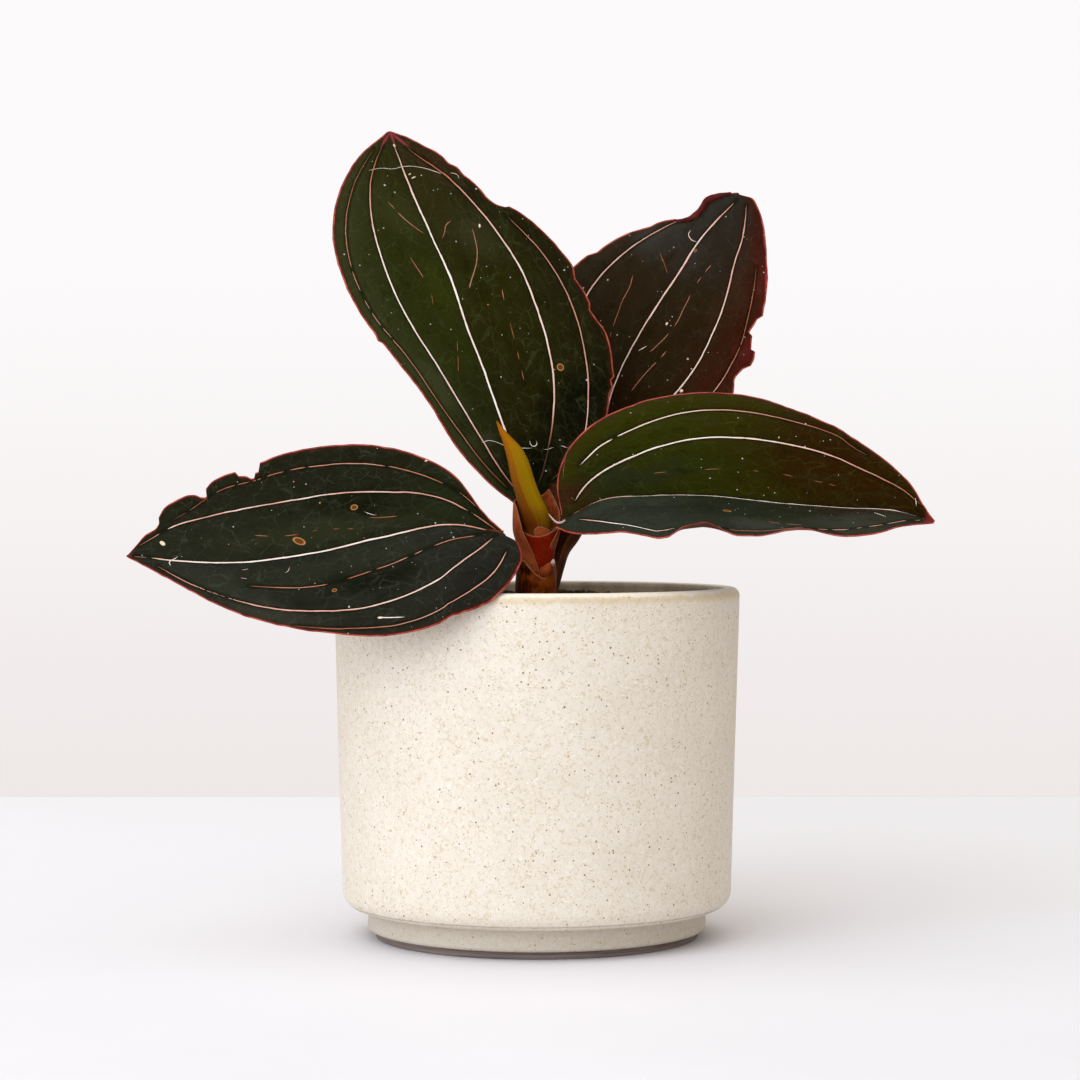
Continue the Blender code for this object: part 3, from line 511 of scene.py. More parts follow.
class Nodes:
    """Short calls for building a node tree."""

    def __init__(self, material):
        self.tree = material.node_tree
        self.shader = self.tree.nodes["Principled BSDF"]

    def put(self, target, value):
        if isinstance(value, bpy.types.NodeSocket):
            self.tree.links.new(value, target)
        elif hasattr(target.default_value, "__len__") and not hasattr(value, "__len__"):
            target.default_value = [value] * len(target.default_value)
        elif target.type == "RGBA" and len(value) == 3:
            target.default_value = (*value, 1)
        else:
            target.default_value = value

    def make(self, kind, output=0, inputs=None, **settings):
        node = self.tree.nodes.new(kind)
        for key, value in settings.items():
            setattr(node, key, value)
        for key, value in (inputs or {}).items():
            self.put(node.inputs[key], value)
        return node.outputs[output]

    def math(self, operation, a, b=0.0, c=None, clamp=False):
        inputs = {0: a, 1: b}
        if c is not None:
            inputs[2] = c
        return self.make("ShaderNodeMath", 0, inputs, operation=operation, use_clamp=clamp)

    def mix(self, factor, a, b, blend="MIX"):
        node = self.tree.nodes.new("ShaderNodeMix")
        node.data_type = "RGBA"
        node.blend_type = blend
        node.clamp_factor = True
        self.put(node.inputs[0], factor)
        self.put(node.inputs[6], a)
        self.put(node.inputs[7], b)
        return node.outputs[2]

    def span(self, value, low, high, to_low=0.0, to_high=1.0, smooth=True):
        kind = "SMOOTHSTEP" if smooth else "LINEAR"
        node = self.tree.nodes.new("ShaderNodeMapRange")
        node.interpolation_type = kind
        for key, item in zip(("Value", "From Min", "From Max", "To Min", "To Max"), (value, low, high, to_low, to_high)):
            self.put(node.inputs[key], item)
        return node.outputs[0]

    def position(self, scale=1000.0):
        """Object coordinates in millimetres, times scale over 1000."""
        source = self.make("ShaderNodeTexCoord", "Object")
        return self.make("ShaderNodeVectorMath", 0, {0: source, "Scale": scale}, operation="SCALE")

    def attribute(self, name):
        return self.make("ShaderNodeAttribute", "Vector", attribute_name=name)

    def parts(self, vector):
        node = self.tree.nodes.new("ShaderNodeSeparateXYZ")
        self.put(node.inputs[0], vector)
        return node.outputs

    def join(self, x=0.0, y=0.0, z=0.0):
        return self.make("ShaderNodeCombineXYZ", 0, {0: x, 1: y, 2: z})

    def scaled(self, vector, by):
        return self.make("ShaderNodeVectorMath", 0, {0: vector, 1: by}, operation="MULTIPLY")

    def noise(self, vector, scale=1.0, detail=3.0, rough=0.5, distortion=0.0, output="Fac"):
        return self.make("ShaderNodeTexNoise", output,
                         {"Vector": vector, "Scale": scale, "Detail": detail, "Roughness": rough,
                          "Distortion": distortion})

    def cells(self, vector, scale=1.0, feature="F1", output="Distance", randomness=1.0):
        return self.make("ShaderNodeTexVoronoi", output,
                         {"Vector": vector, "Scale": scale, "Randomness": randomness}, feature=feature)

    def bump(self, height, strength, distance, normal=None):
        inputs = {"Height": height, "Strength": strength, "Distance": distance}
        if normal is not None:
            inputs["Normal"] = normal
        return self.make("ShaderNodeBump", 0, inputs)

    def finish(self, **values):
        for key, value in values.items():
            self.put(self.shader.inputs[key.replace("_", " ")], value)


def stoneware():
    """Cream glaze with brown dots and tan curls, ochre under the rim and a painted highlight along the top of the lip,
    painted shade low round the foot, a dark inside with painted shade over the inner rim, and bare clay at the bottom.
    """
    material = new_material("stoneware_glaze")
    n = Nodes(material)
    mm = n.position()
    height = n.parts(mm)[2]
    cloud = n.noise(mm, 0.06, 4, 0.6)
    mottle = n.noise(mm, 0.8, 3, 0.6)
    color = n.mix(n.span(cloud, 0.35, 0.65), (0.735, 0.662, 0.552), (0.772, 0.70, 0.594))
    color = n.mix(n.math("MULTIPLY", n.span(mottle, 0.45, 0.75), 0.3), color, (0.66, 0.565, 0.45))
    color = n.mix(n.math("MULTIPLY", n.span(mottle, 0.45, 0.28), 0.35), color, (0.82, 0.765, 0.685))
    warp = n.noise(mm, 0.7, 2, 0.5, output="Color")
    bent = n.make("ShaderNodeVectorMath", 0, {0: n.scaled(warp, (3.2, 3.2, 3.2)), 1: mm}, operation="ADD")
    for shift, tone, strength, low in ((0.0, (0.49, 0.34, 0.16), 0.42, 0.49), (37.0, (0.90, 0.85, 0.77), 0.5, 0.52),
                                       (71.0, (0.54, 0.39, 0.19), 0.38, 0.5)):
        moved = n.make("ShaderNodeVectorMath", 0, {0: bent, 1: (shift, shift, 0)}, operation="ADD")
        line = n.cells(moved, 0.45, "DISTANCE_TO_EDGE")
        where = n.span(n.noise(moved, 1.1, 2, 0.5), low, low + 0.06)
        curl = n.math("MULTIPLY", n.span(line, 0.055, 0.02), where)
        color = n.mix(n.math("MULTIPLY", curl, strength), color, tone)
    for scale, size, share, tone, strength in ((0.72, 0.10, 0.25, (0.22, 0.11, 0.04), 0.95),
                                               (1.2, 0.14, 0.35, (0.48, 0.31, 0.13), 0.65),
                                               (0.5, 0.075, 0.5, (0.12, 0.065, 0.028), 0.95)):
        distance = n.cells(mm, scale)
        pick = n.parts(n.cells(mm, scale, output="Color"))
        reach = n.math("MULTIPLY", n.math("ADD", pick[1], 0.55), size)
        dot = n.span(n.math("SUBTRACT", distance, reach), 0.03, -0.03)
        dot = n.math("MULTIPLY", dot, n.math("GREATER_THAN", pick[0], share))
        color = n.mix(n.math("MULTIPLY", dot, strength), color, tone)
    rim_wobble = n.math("MULTIPLY", n.math("SUBTRACT", n.noise(mm, 0.35, 3, 0.6), 0.5), 1.8)
    rim_height = n.math("ADD", height, rim_wobble)
    ochre = n.math("MULTIPLY", n.span(rim_height, 74.6, 76.0), n.span(rim_height, 77.1, 76.3))
    color = n.mix(n.math("MULTIPLY", ochre, 0.5), color, (0.60, 0.42, 0.19))
    # Painted highlight: the top of the lip is painted paler.
    lip = n.span(height, 76.5, 77.2)
    color = n.mix(n.math("MULTIPLY", lip, 0.6), color, (0.84, 0.77, 0.66))
    # Painted shade: the glaze low round the foot is painted darker.
    foot = n.span(height, FOOT_HEIGHT + 1.4, FOOT_HEIGHT - 0.4)
    color = n.mix(n.math("MULTIPLY", foot, 0.47), color, (0.34, 0.29, 0.22))
    # The inside wall and the inner rounding of the rim are painted dark brown, which over the inner rim is painted
    # shade.
    radius = n.make("ShaderNodeVectorMath", "Value", {0: n.scaled(mm, (1, 1, 0))}, operation="LENGTH")
    inner = n.math("MULTIPLY", n.span(radius, RIM_INNER_RADIUS + 1.1, RIM_INNER_RADIUS + 0.5),
                   n.span(height, POT_HEIGHT + 0.1, POT_HEIGHT - 0.5))
    inner = n.math("MULTIPLY", inner, n.math("GREATER_THAN", height, FLOOR_TOP - 0.5))
    inside_mottle = n.noise(n.scaled(mm, (1, 1, 0.4)), 0.3, 3, 0.6)
    inside = n.mix(n.span(inside_mottle, 0.35, 0.65), (0.17, 0.115, 0.065), (0.29, 0.215, 0.13))
    color = n.mix(n.math("MULTIPLY", inner, 0.88), color, inside)
    streak = n.noise(n.scaled(mm, (0.05, 0.05, 2.2)), 1.0, 3, 0.7)
    clay = n.mix(n.span(streak, 0.35, 0.65), (0.135, 0.10, 0.085), (0.24, 0.185, 0.16))
    bare = n.span(height, BARE_BAND_HEIGHT + 0.12, BARE_BAND_HEIGHT - 0.02)
    color = n.mix(bare, color, clay)
    rough = n.math("ADD", n.span(mottle, 0.3, 0.7, 0.4, 0.52), n.math("MULTIPLY", bare, 0.3))
    peel = n.noise(mm, 1.1, 3, 0.55)
    fine = n.noise(mm, 4.5, 2, 0.6)
    relief = n.math("ADD", peel, n.math("MULTIPLY", fine, 0.25))
    n.finish(Base_Color=color, Roughness=rough, Specular_IOR_Level=0.3, Coat_Weight=0.06, Coat_Roughness=0.3,
             Normal=n.bump(relief, 0.3, 0.0002))
    return material


def oval(n, flat, x, y, long, wide, angle):
    """Distance from the middle of an oval in flat leaf coordinates, which is 1 on its outline."""
    turn = math.radians(angle)
    about = n.make("ShaderNodeVectorMath", 0, {0: flat, 1: (x, y, 0)}, operation="SUBTRACT")
    axes = ((math.cos(turn) / long, math.sin(turn) / long, 0), (-math.sin(turn) / wide, math.cos(turn) / wide, 0))
    shares = [n.make("ShaderNodeVectorMath", "Value", {0: about, 1: axis}, operation="DOT_PRODUCT") for axis in axes]
    return n.make("ShaderNodeVectorMath", "Value", {0: n.join(*shares)}, operation="LENGTH")


def paint_patches(n, color, flat, patches):
    """Soft-edged areas of another tone: partly the leaf's own blotches, partly painted shade and painted sheen."""
    for x, y, long, wide, angle, tone, strength in patches:
        cover = n.span(oval(n, flat, x, y, long, wide, angle), 1.5, 0.2)
        color = n.mix(n.math("MULTIPLY", cover, strength), color, tone)
    return color


def paint_scars(n, color, flat, scars):
    """Small oval marks: a brown scar with an orange rim, a pale spot or a crimson streak."""
    for x, y, long, wide, angle, kind in scars:
        reach = oval(n, flat, x, y, long, wide, angle)
        spot = n.span(reach, 1.15, 0.85)
        if kind == "pale":
            color = n.mix(spot, color, (0.74, 0.56, 0.42))
        elif kind == "crimson":
            color = n.mix(n.span(reach, 1.4, 0.4), color, (0.21, 0.028, 0.04))
        else:
            color = n.mix(spot, color, (0.46, 0.22, 0.085))
            color = n.mix(n.span(reach, 0.95, 0.65), color, (0.11, 0.032, 0.006))
    return color


def leaf_finish(name, left, right, painted_sheen, seed, shape, net_tone):
    """Dark satin leaf skin. Left and right give each half's colour at base, middle, tip and margin; some half colours
    carry painted sheen. A further tone is painted over blotches as painted sheen. Over that lie soft patches, partly
    painted shade and painted sheen, a fine net, dark lines beside the veins, a red blush, specks and scars."""
    material = new_material(name)
    n = Nodes(material)
    flat = n.attribute("flat")
    along, across, to_vein = n.parts(n.attribute("zone"))
    _, side, to_margin = n.parts(flat)
    flat = n.scaled(flat, (1, 1, 0))
    place = n.make("ShaderNodeVectorMath", 0, {0: flat, 1: (seed, seed * 0.7, 0)}, operation="ADD")
    cloud = n.noise(place, 0.07, 4, 0.6)
    blotch_and_sheen = n.noise(n.scaled(place, (0.5, 1, 1)), 0.35, 4, 0.62)
    shift = n.math("SUBTRACT", cloud, 0.5)
    tipward = n.math("ADD", along, n.math("MULTIPLY", shift, 0.4))
    outward = n.math("ADD", across, n.math("MULTIPLY", shift, 0.5))
    halves = []
    for base, middle, end, edge in (left, right):
        half = n.mix(n.span(tipward, 0.05, 0.45), base, middle)
        half = n.mix(n.span(tipward, 0.55, 0.95), half, end)
        halves.append(n.mix(n.math("MULTIPLY", n.span(outward, 0.4, 1.0), 0.9), half, edge))
    color = n.mix(n.span(side, -1.0, 1.0), *halves)
    drift = n.noise(place, 0.13, 3, 0.6, output="Color")
    drift = n.make("ShaderNodeVectorMath", 0, {0: drift, 1: (0.5, 0.5, 0.5)}, operation="SUBTRACT")
    moved = n.make("ShaderNodeVectorMath", 0, {0: flat, 1: n.scaled(drift, (9, 9, 0))}, operation="ADD")
    color = paint_patches(n, color, moved, shape["patches"])
    # Painted sheen: a paler sheen tone is painted over the high parts of the blotch noise.
    color = n.mix(n.math("MULTIPLY", n.span(blotch_and_sheen, 0.48, 0.75), 0.4), color, painted_sheen)
    color = n.mix(n.math("MULTIPLY", n.span(blotch_and_sheen, 0.46, 0.25), 0.5), color, (0.002, 0.002, 0.0005))
    warp = n.noise(place, 0.4, 2, 0.5, output="Color")
    bent = n.make("ShaderNodeVectorMath", 0, {0: n.scaled(place, (0.7, 1, 1)), 1: n.scaled(warp, (2.2, 2.2, 0))},
                  operation="ADD")
    for scale, thick, strength in ((0.30, 0.035, 0.2), (0.75, 0.045, 0.12)):
        net = n.span(n.cells(n.scaled(bent, (1, 1, 0)), scale, "DISTANCE_TO_EDGE"), thick, 0.0)
        net = n.math("MULTIPLY", net, n.span(n.noise(place, 0.25, 2, 0.5), 0.3, 0.62))
        color = n.mix(n.math("MULTIPLY", net, strength), color, net_tone)
    near_vein = n.span(to_vein, 0.9, 0.3)
    color = n.mix(n.math("MULTIPLY", near_vein, 0.6), color, (0.002, 0.002, 0.001))
    blush = n.span(to_margin, 1.4, 0.2)
    color = n.mix(n.math("MULTIPLY", blush, 0.6), color, (0.045, 0.009, 0.004))
    tip = n.span(along, shape["tip"], shape["tip"] + 0.02)
    color = n.mix(n.math("MULTIPLY", tip, 0.85), color, (0.17, 0.018, 0.018))
    for scale, size, share, strength, tone in ((0.5, 0.11, 0.72, 0.95, (0.42, 0.43, 0.38)),
                                               (0.9, 0.13, 0.86, 0.9, (0.34, 0.35, 0.30)),
                                               (0.33, 0.07, 0.80, 0.95, (0.50, 0.22, 0.07))):
        distance = n.cells(place, scale)
        pick = n.parts(n.cells(place, scale, output="Color"))
        reach = n.math("MULTIPLY", n.math("ADD", n.math("POWER", pick[1], 2.0), 0.25), size)
        speck = n.span(n.math("SUBTRACT", distance, reach), 0.02, -0.02)
        speck = n.math("MULTIPLY", speck, n.math("GREATER_THAN", pick[0], share))
        color = n.mix(n.math("MULTIPLY", speck, strength), color, tone)
    color = paint_scars(n, color, flat, shape["scars"])
    dust = n.noise(place, 0.16, 5, 0.75, 0.6)
    rough = n.span(dust, 0.3, 0.7, 0.34, 0.5)
    grain = n.noise(place, 3.2, 3, 0.6)
    pebble = n.cells(n.scaled(place, (0.8, 1, 0)), 1.15, "SMOOTH_F1")
    relief = n.math("ADD", n.math("MULTIPLY", grain, 0.3), pebble)
    n.finish(Base_Color=color, Roughness=rough, Specular_IOR_Level=0.03, Specular_Tint=LEAF_SHEEN,
             Normal=n.bump(relief, 0.3, 0.00018))
    return material


def vein_finish():
    """Raised vein skin: cream, salmon, copper or dark brown by its tone, with copper sides."""
    material = new_material("leaf_vein")
    n = Nodes(material)
    tone, across, _ = n.parts(n.attribute("zone"))
    flat = n.attribute("flat")
    grain = n.noise(flat, 1.6, 3, 0.7)
    color = n.mix(n.span(tone, 0.0, 0.5, smooth=False), (0.86, 0.77, 0.68), (0.68, 0.36, 0.27))
    color = n.mix(n.span(tone, 0.5, 1.0, smooth=False), color, (0.36, 0.11, 0.05))
    color = n.mix(n.span(tone, 1.0, 1.5, smooth=False), color, (0.035, 0.014, 0.007))
    color = n.mix(n.math("MULTIPLY", n.span(grain, 0.55, 0.78), 0.3), color, (0.36, 0.14, 0.08))
    beside = n.span(n.math("ABSOLUTE", across), 0.45, 1.0)
    color = n.mix(n.math("MULTIPLY", beside, 0.75), color, (0.20, 0.065, 0.035))
    n.finish(Base_Color=color, Roughness=0.5, Specular_IOR_Level=0.15, Normal=n.bump(grain, 0.2, 0.0001))
    return material


def margin_finish():
    material = new_material("leaf_margin")
    n = Nodes(material)
    flat = n.attribute("flat")
    fade = n.noise(flat, 0.35, 3, 0.6)
    color = n.mix(n.span(fade, 0.35, 0.68), (0.21, 0.019, 0.014), (0.44, 0.092, 0.058))
    n.finish(Base_Color=color, Roughness=0.45, Specular_IOR_Level=0.1, Normal=n.bump(fade, 0.15, 0.0001))
    return material


def underside_finish():
    material = new_material("leaf_underside")
    n = Nodes(material)
    flat = n.attribute("flat")
    _, _, to_vein = n.parts(n.attribute("zone"))
    cloud = n.noise(flat, 0.09, 4, 0.6)
    color = n.mix(n.span(cloud, 0.35, 0.65), (0.085, 0.022, 0.013), (0.135, 0.048, 0.026))
    color = n.mix(n.math("MULTIPLY", n.span(to_vein, 0.9, 0.2), 0.6), color, (0.045, 0.010, 0.006))
    net = n.span(n.cells(n.scaled(flat, (0.25, 0.45, 0)), 1.0, "DISTANCE_TO_EDGE"), 0.06, 0.0)
    color = n.mix(n.math("MULTIPLY", net, 0.25), color, (0.045, 0.012, 0.008))
    grain = n.noise(flat, 2.4, 3, 0.6)
    n.finish(Base_Color=color, Roughness=0.5, Specular_IOR_Level=0.12, Normal=n.bump(grain, 0.25, 0.0002))
    return material


def stalk_finish(name, dark, light, stripe=0.5, rim_tone=(0.40, 0.17, 0.095), one_sided=0.0):
    """Fleshy red-brown skin with fine lengthwise lines and a paler rim. One-sided skin is painted dark to the left and
    light to the right, as painted shade and painted highlight."""
    material = new_material(name)
    n = Nodes(material)
    along, turn, rim = n.parts(n.attribute("zone"))
    mm = n.position()
    lines = n.noise(n.join(n.math("MULTIPLY", turn, 14.0), n.math("MULTIPLY", along, 1.4), 0.0), 1.0, 3, 0.6)
    cloud = n.noise(mm, 0.28, 3, 0.6)
    # Painted shade and highlight: one-sided skin is darker to the left and lighter to the right.
    painted_side_shade = n.math("MULTIPLY", n.span(n.parts(mm)[0], -3.5, 3.0, -0.2, 0.2), one_sided)
    color = n.mix(n.span(n.math("ADD", cloud, painted_side_shade), 0.35, 0.68), dark, light)
    color = n.mix(n.math("MULTIPLY", n.span(lines, 0.42, 0.68), stripe), color,
                  tuple(0.75 * (a + b) for a, b in zip(dark, light)))
    color = n.mix(n.math("MULTIPLY", n.span(lines, 0.46, 0.28), 0.4), color, tuple(0.45 * a for a in dark))
    color = n.mix(n.math("MULTIPLY", n.span(rim, 0.35, 1.0), 0.8), color, rim_tone)
    fine = n.noise(mm, 2.5, 3, 0.6)
    n.finish(Base_Color=color, Roughness=0.4, Specular_IOR_Level=0.02, Specular_Tint=STALK_SHEEN,
             Normal=n.bump(n.math("ADD", lines, n.math("MULTIPLY", fine, 0.3)), 0.25, 0.0002))
    return material


def new_leaf_finish():
    """Olive yellow with fine lengthwise lines, orange-brown to the left, at the tip and along the wrap."""
    material = new_material("new_leaf_skin")
    n = Nodes(material)
    along, turn, rim = n.parts(n.attribute("zone"))
    mm = n.position()
    lines = n.noise(n.join(n.math("MULTIPLY", turn, 18.0), n.math("MULTIPLY", along, 1.2), 0.0), 1.0, 3, 0.55)
    color = n.mix(n.span(along, 0.10, 0.36), (0.18, 0.070, 0.002), (0.26, 0.145, 0.002))
    color = n.mix(n.math("MULTIPLY", n.span(along, 0.62, 0.95), 0.9), color, (0.31, 0.09, 0.003))
    color = n.mix(n.math("MULTIPLY", n.span(lines, 0.45, 0.7), 0.35), color, (0.32, 0.21, 0.006))
    color = n.mix(n.math("MULTIPLY", n.span(lines, 0.45, 0.25), 0.3), color, (0.14, 0.062, 0.001))
    strip = n.mix(n.span(along, 0.1, 0.75), (0.135, 0.030, 0.003), (0.27, 0.082, 0.004))
    color = n.mix(n.math("MULTIPLY", rim, 0.9), color, strip)
    fine = n.noise(mm, 3.0, 3, 0.6)
    n.finish(Base_Color=color, Roughness=0.42, Specular_IOR_Level=0.02, Specular_Tint=STALK_SHEEN,
             Normal=n.bump(n.math("ADD", lines, n.math("MULTIPLY", fine, 0.3)), 0.3, 0.0002))
    return material


def bark_finish():
    """Damp dark bark: brown to near black, with lighter fibrous faces."""
    material = new_material("bark_mix")
    n = Nodes(material)
    mm = n.position()
    tone, _, _ = n.parts(n.attribute("zone"))
    grain = n.noise(n.scaled(mm, (1, 1, 0.4)), 0.9, 5, 0.7, 0.4)
    color = n.mix(n.span(grain, 0.35, 0.7), (0.010, 0.006, 0.004), (0.055, 0.030, 0.017))
    color = n.mix(n.math("MULTIPLY", tone, 0.5), color, (0.11, 0.058, 0.03))
    fine = n.noise(mm, 3.5, 4, 0.7)
    n.finish(Base_Color=color, Roughness=0.85, Specular_IOR_Level=0.15,
             Normal=n.bump(n.math("ADD", grain, n.math("MULTIPLY", fine, 0.4)), 0.7, 0.0006))
    return material


def arc(centre, radius, start, end, count):
    angles = [math.radians(start + (end - start) * i / (count - 1)) for i in range(count)]
    return [(centre[0] + radius * math.cos(a), centre[1] + radius * math.sin(a)) for a in angles]


def inner_radius(height):
    low = FLOOR_TOP + 4
    share = (height - low) / (POT_HEIGHT - 1.2 - low)
    return FLOOR_RADIUS + share * (RIM_INNER_RADIUS - FLOOR_RADIUS)


def make_pot(glaze):
    """The pot's solid again with fine curves and a wall that is very slightly out of true."""
    outside = [(BARE_BAND_RADIUS - 0.3, 0)] + arc((BARE_BAND_RADIUS - 0.3, 0.3), 0.3, -90, 0, 4)[1:]
    outside += [(BARE_BAND_RADIUS, BARE_BAND_HEIGHT - 0.1), (BARE_BAND_RADIUS + 0.25, BARE_BAND_HEIGHT)]
    outside += arc((FOOT_RADIUS - 0.9, BARE_BAND_HEIGHT + 0.9), 0.9, -90, 0, 9)
    outside += [(FOOT_RADIUS - 0.05, 4.4), (FOOT_RADIUS - 0.1, FOOT_HEIGHT - 0.5)]
    outside += arc((FOOT_RADIUS + 0.4, FOOT_HEIGHT - 0.5), 0.5, 180, 90, 4)[1:]
    outside += arc((WAIST_RADIUS - 4.05, FOOT_HEIGHT + 4.2), 4, -90, -4, 14)
    low, high = WAIST_HEIGHT, POT_HEIGHT - 1.8
    outside += [(WAIST_RADIUS + (RIM_RADIUS - WAIST_RADIUS) * i / 16, low + (high - low) * i / 16) for i in range(17)]
    rim = arc((RIM_RADIUS - 1.8, POT_HEIGHT - 1.8), 1.8, 0, 90, 14)[1:]
    rim += arc((RIM_INNER_RADIUS + 1.2, POT_HEIGHT - 1.2), 1.2, 90, 180, 10)
    inside = [(inner_radius(h), h) for h in np.linspace(75, FLOOR_TOP + 4, 12)]
    inside += arc((FLOOR_RADIUS - 4, FLOOR_TOP + 4), 4, 0, -90, 8)[1:]
    profile = outside + rim + inside
    turns = np.linspace(0, 2 * math.pi, POT_STEPS, endpoint=False)
    mesh = Mesh()
    points = []
    for radius, height in profile:
        wobble = np.array([noise.noise(Vector((math.cos(a) * 0.8, math.sin(a) * 0.8, height * 0.02))) for a in turns])
        reach = radius + 0.09 * wobble * (height > 8) * (radius > 42)
        points += list(zip(reach * np.cos(turns), reach * np.sin(turns), np.full_like(turns, height)))
    rows = len(profile)
    centres = [(0, 0, 0), (0, 0, FLOOR_TOP)]
    faces = grid_faces(rows, POT_STEPS, closed=True)
    first, last = rows * POT_STEPS, rows * POT_STEPS + 1
    for j in range(POT_STEPS):
        k = (j + 1) % POT_STEPS
        faces.append([first, k, j])
        faces.append([last, (rows - 1) * POT_STEPS + j, (rows - 1) * POT_STEPS + k])
    mesh.add(points + centres, faces)
    pot = mesh.build("stoneware_pot", [glaze], sharp=60)
    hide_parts("pot")
    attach(pot, "root")


def chip_shape(draw, length, width, height):
    """A weathered bark chip: a rounded block with a knocked-about surface."""
    rows, columns = 7, 10
    points = []
    seed = draw.uniform(0, 100)
    for i in range(rows):
        across = math.pi * i / (rows - 1)
        for j in range(columns):
            turn = 2 * math.pi * j / columns
            base = np.array([math.sin(across) * math.cos(turn), math.sin(across) * math.sin(turn), math.cos(across)])
            boxed = np.sign(base) * np.abs(base) ** 0.55
            push = 1 + 0.28 * noise.noise(Vector(base * 1.7) + Vector((seed, 0, 0)))
            points.append(boxed * push * (length, width, height))
    return np.array(points), grid_faces(rows, columns, closed=True)


def make_soil(bark):
    """Potting mix: a rough bed with overlapping bark chips and crumbs, and a hole for the stem."""
    mesh = Mesh()
    wall = 0.4
    rings, columns = 40, 120
    top_radius = inner_radius(SOIL_HEIGHT) - wall
    turns = np.linspace(0, 2 * math.pi, columns, endpoint=False)
    points = []
    hole = LOWER_SHEATH_RADIUS + 0.1
    for i in range(rings):
        share = i / (rings - 1)
        for a in turns:
            reach = hole * (1 - share) + top_radius * share
            shift = (1 - share) * np.array([STEM_X, STEM_Y])
            x, y = reach * math.cos(a) + shift[0], reach * math.sin(a) + shift[1]
            rough = noise.fractal(Vector((x * 0.22, y * 0.22, 3.1)), 0.6, 2.0, 4)
            points.append((x, y, SOIL_HEIGHT + 0.5 + 1.1 * rough))
    wall_heights = (SOIL_HEIGHT - 3, 40, FLOOR_TOP + 4)
    for height in wall_heights:
        reach = inner_radius(height) - wall
        points += [(reach * math.cos(a), reach * math.sin(a), height) for a in turns]
    reach = FLOOR_RADIUS - 4.5
    points += [(reach * math.cos(a), reach * math.sin(a), FLOOR_TOP + 0.3) for a in turns]
    rows = rings + len(wall_heights) + 1
    faces = grid_faces(rows, columns, closed=True, flip=True)
    count = len(points)
    points += [(STEM_X, STEM_Y, SOIL_HEIGHT - 6), (0, 0, FLOOR_TOP + 0.3)]
    for j in range(columns):
        k = (j + 1) % columns
        faces.append([count, j, k])
        faces.append([count + 1, (rows - 1) * columns + k, (rows - 1) * columns + j])
    mesh.add(points, faces)
    draw = np.random.default_rng(11)
    golden = math.pi * (3 - math.sqrt(5))
    for i in range(330):
        big = i < 170
        number, total = (i, 170) if big else (i - 170, 160)
        reach = (top_radius - (3.4 if big else 1.8)) * math.sqrt((number + 0.5) / total)
        a = golden * number + (0 if big else 1.3)
        x, y = reach * math.cos(a), reach * math.sin(a)
        if math.hypot(x - STEM_X, y - STEM_Y) < (LOWER_SHEATH_RADIUS + (3.6 if big else 1.6)):
            continue
        if big:
            size = (draw.uniform(2.2, 4.2), draw.uniform(1.5, 2.8), draw.uniform(0.9, 1.7))
        else:
            size = (draw.uniform(0.7, 1.6), draw.uniform(0.5, 1.1), draw.uniform(0.4, 0.9))
        add_chip(mesh, draw, size, x, y, SOIL_HEIGHT + draw.uniform(0.3, 1.6), top_radius, draw.uniform(0, 1) ** 2)
    for x, long, top in BACK_CHIPS:
        y = math.sqrt((top_radius - 1.6) ** 2 - x**2)
        add_chip(mesh, draw, (long, 1.5, 1.5), x, y, top, top_radius, 0.0, sits_at_top=True)
    soil = mesh.build("bark_bed", [bark], sharp=35)
    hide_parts("soil")
    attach(soil, "root")


def add_chip(mesh, draw, size, x, y, height, top_radius, tone, sits_at_top=False):
    """One chip, turned and tilted at random, kept inside the pot and below the top of the mix."""
    shape, faces = chip_shape(draw, *size)
    if sits_at_top:
        spin, tilt = math.atan2(y, x) + math.pi / 2, 0.1
    else:
        spin, tilt = draw.uniform(0, 2 * math.pi), draw.uniform(-0.5, 0.5)
    about_x = np.array([[1, 0, 0], [0, math.cos(tilt), -math.sin(tilt)], [0, math.sin(tilt), math.cos(tilt)]])
    about_z = np.array([[math.cos(spin), -math.sin(spin), 0], [math.sin(spin), math.cos(spin), 0], [0, 0, 1]])
    shape = shape @ about_x.T @ about_z.T
    highest = height if sits_at_top else min(height + shape[:, 2].max(), CHIP_TOP)
    shape = shape + (x, y, highest - shape[:, 2].max())
    outer = np.hypot(shape[:, 0], shape[:, 1])
    shape[:, :2] *= np.minimum(1, top_radius / outer)[:, None]
    zone = np.zeros_like(shape)
    zone[:, 0] = tone
    mesh.add(shape, faces, zone=zone)


def shell(levels, thickness, columns, rim_low=False):
    """Points, faces and zones of a shell round the stem. A level is (height, radius, left, right)."""
    levels = np.array(levels)
    rows = len(levels)
    skins = []
    zones = []
    shares = np.linspace(0, 1, columns)
    for sign in (1, -1):
        for i, (height, radius, left, right) in enumerate(levels):
            turn = np.radians(-left + (left + right) * shares)
            near_edge = np.minimum(shares, 1 - shares) * math.radians(left + right) * radius
            thin = np.clip(near_edge / 0.9, 0.25, 1)
            reach = radius + sign * thickness / 2 * thin
            skins += list(zip(STEM_X + reach * np.sin(turn), STEM_Y + reach * np.cos(turn), np.full(columns, height)))
            rim = np.clip(1 - near_edge / 0.35, 0, 1)
            zones += list(zip(np.full(columns, i / (rows - 1) * 3), turn, rim))
    half = rows * columns
    faces = grid_faces(rows, columns, flip=True) + grid_faces(rows, columns, start=half)
    for a in list(range(columns - 1)):
        faces.append([a, a + 1, half + a + 1, half + a])
        b = (rows - 1) * columns + a
        faces.append([b + 1, b, half + b, half + b + 1])
    for i in range(rows - 1):
        a, b = i * columns, (i + 1) * columns
        faces.append([b, a, half + a, half + b])
        faces.append([a + columns - 1, b + columns - 1, half + b + columns - 1, half + a + columns - 1])
    return np.array(skins), faces, np.array(zones)


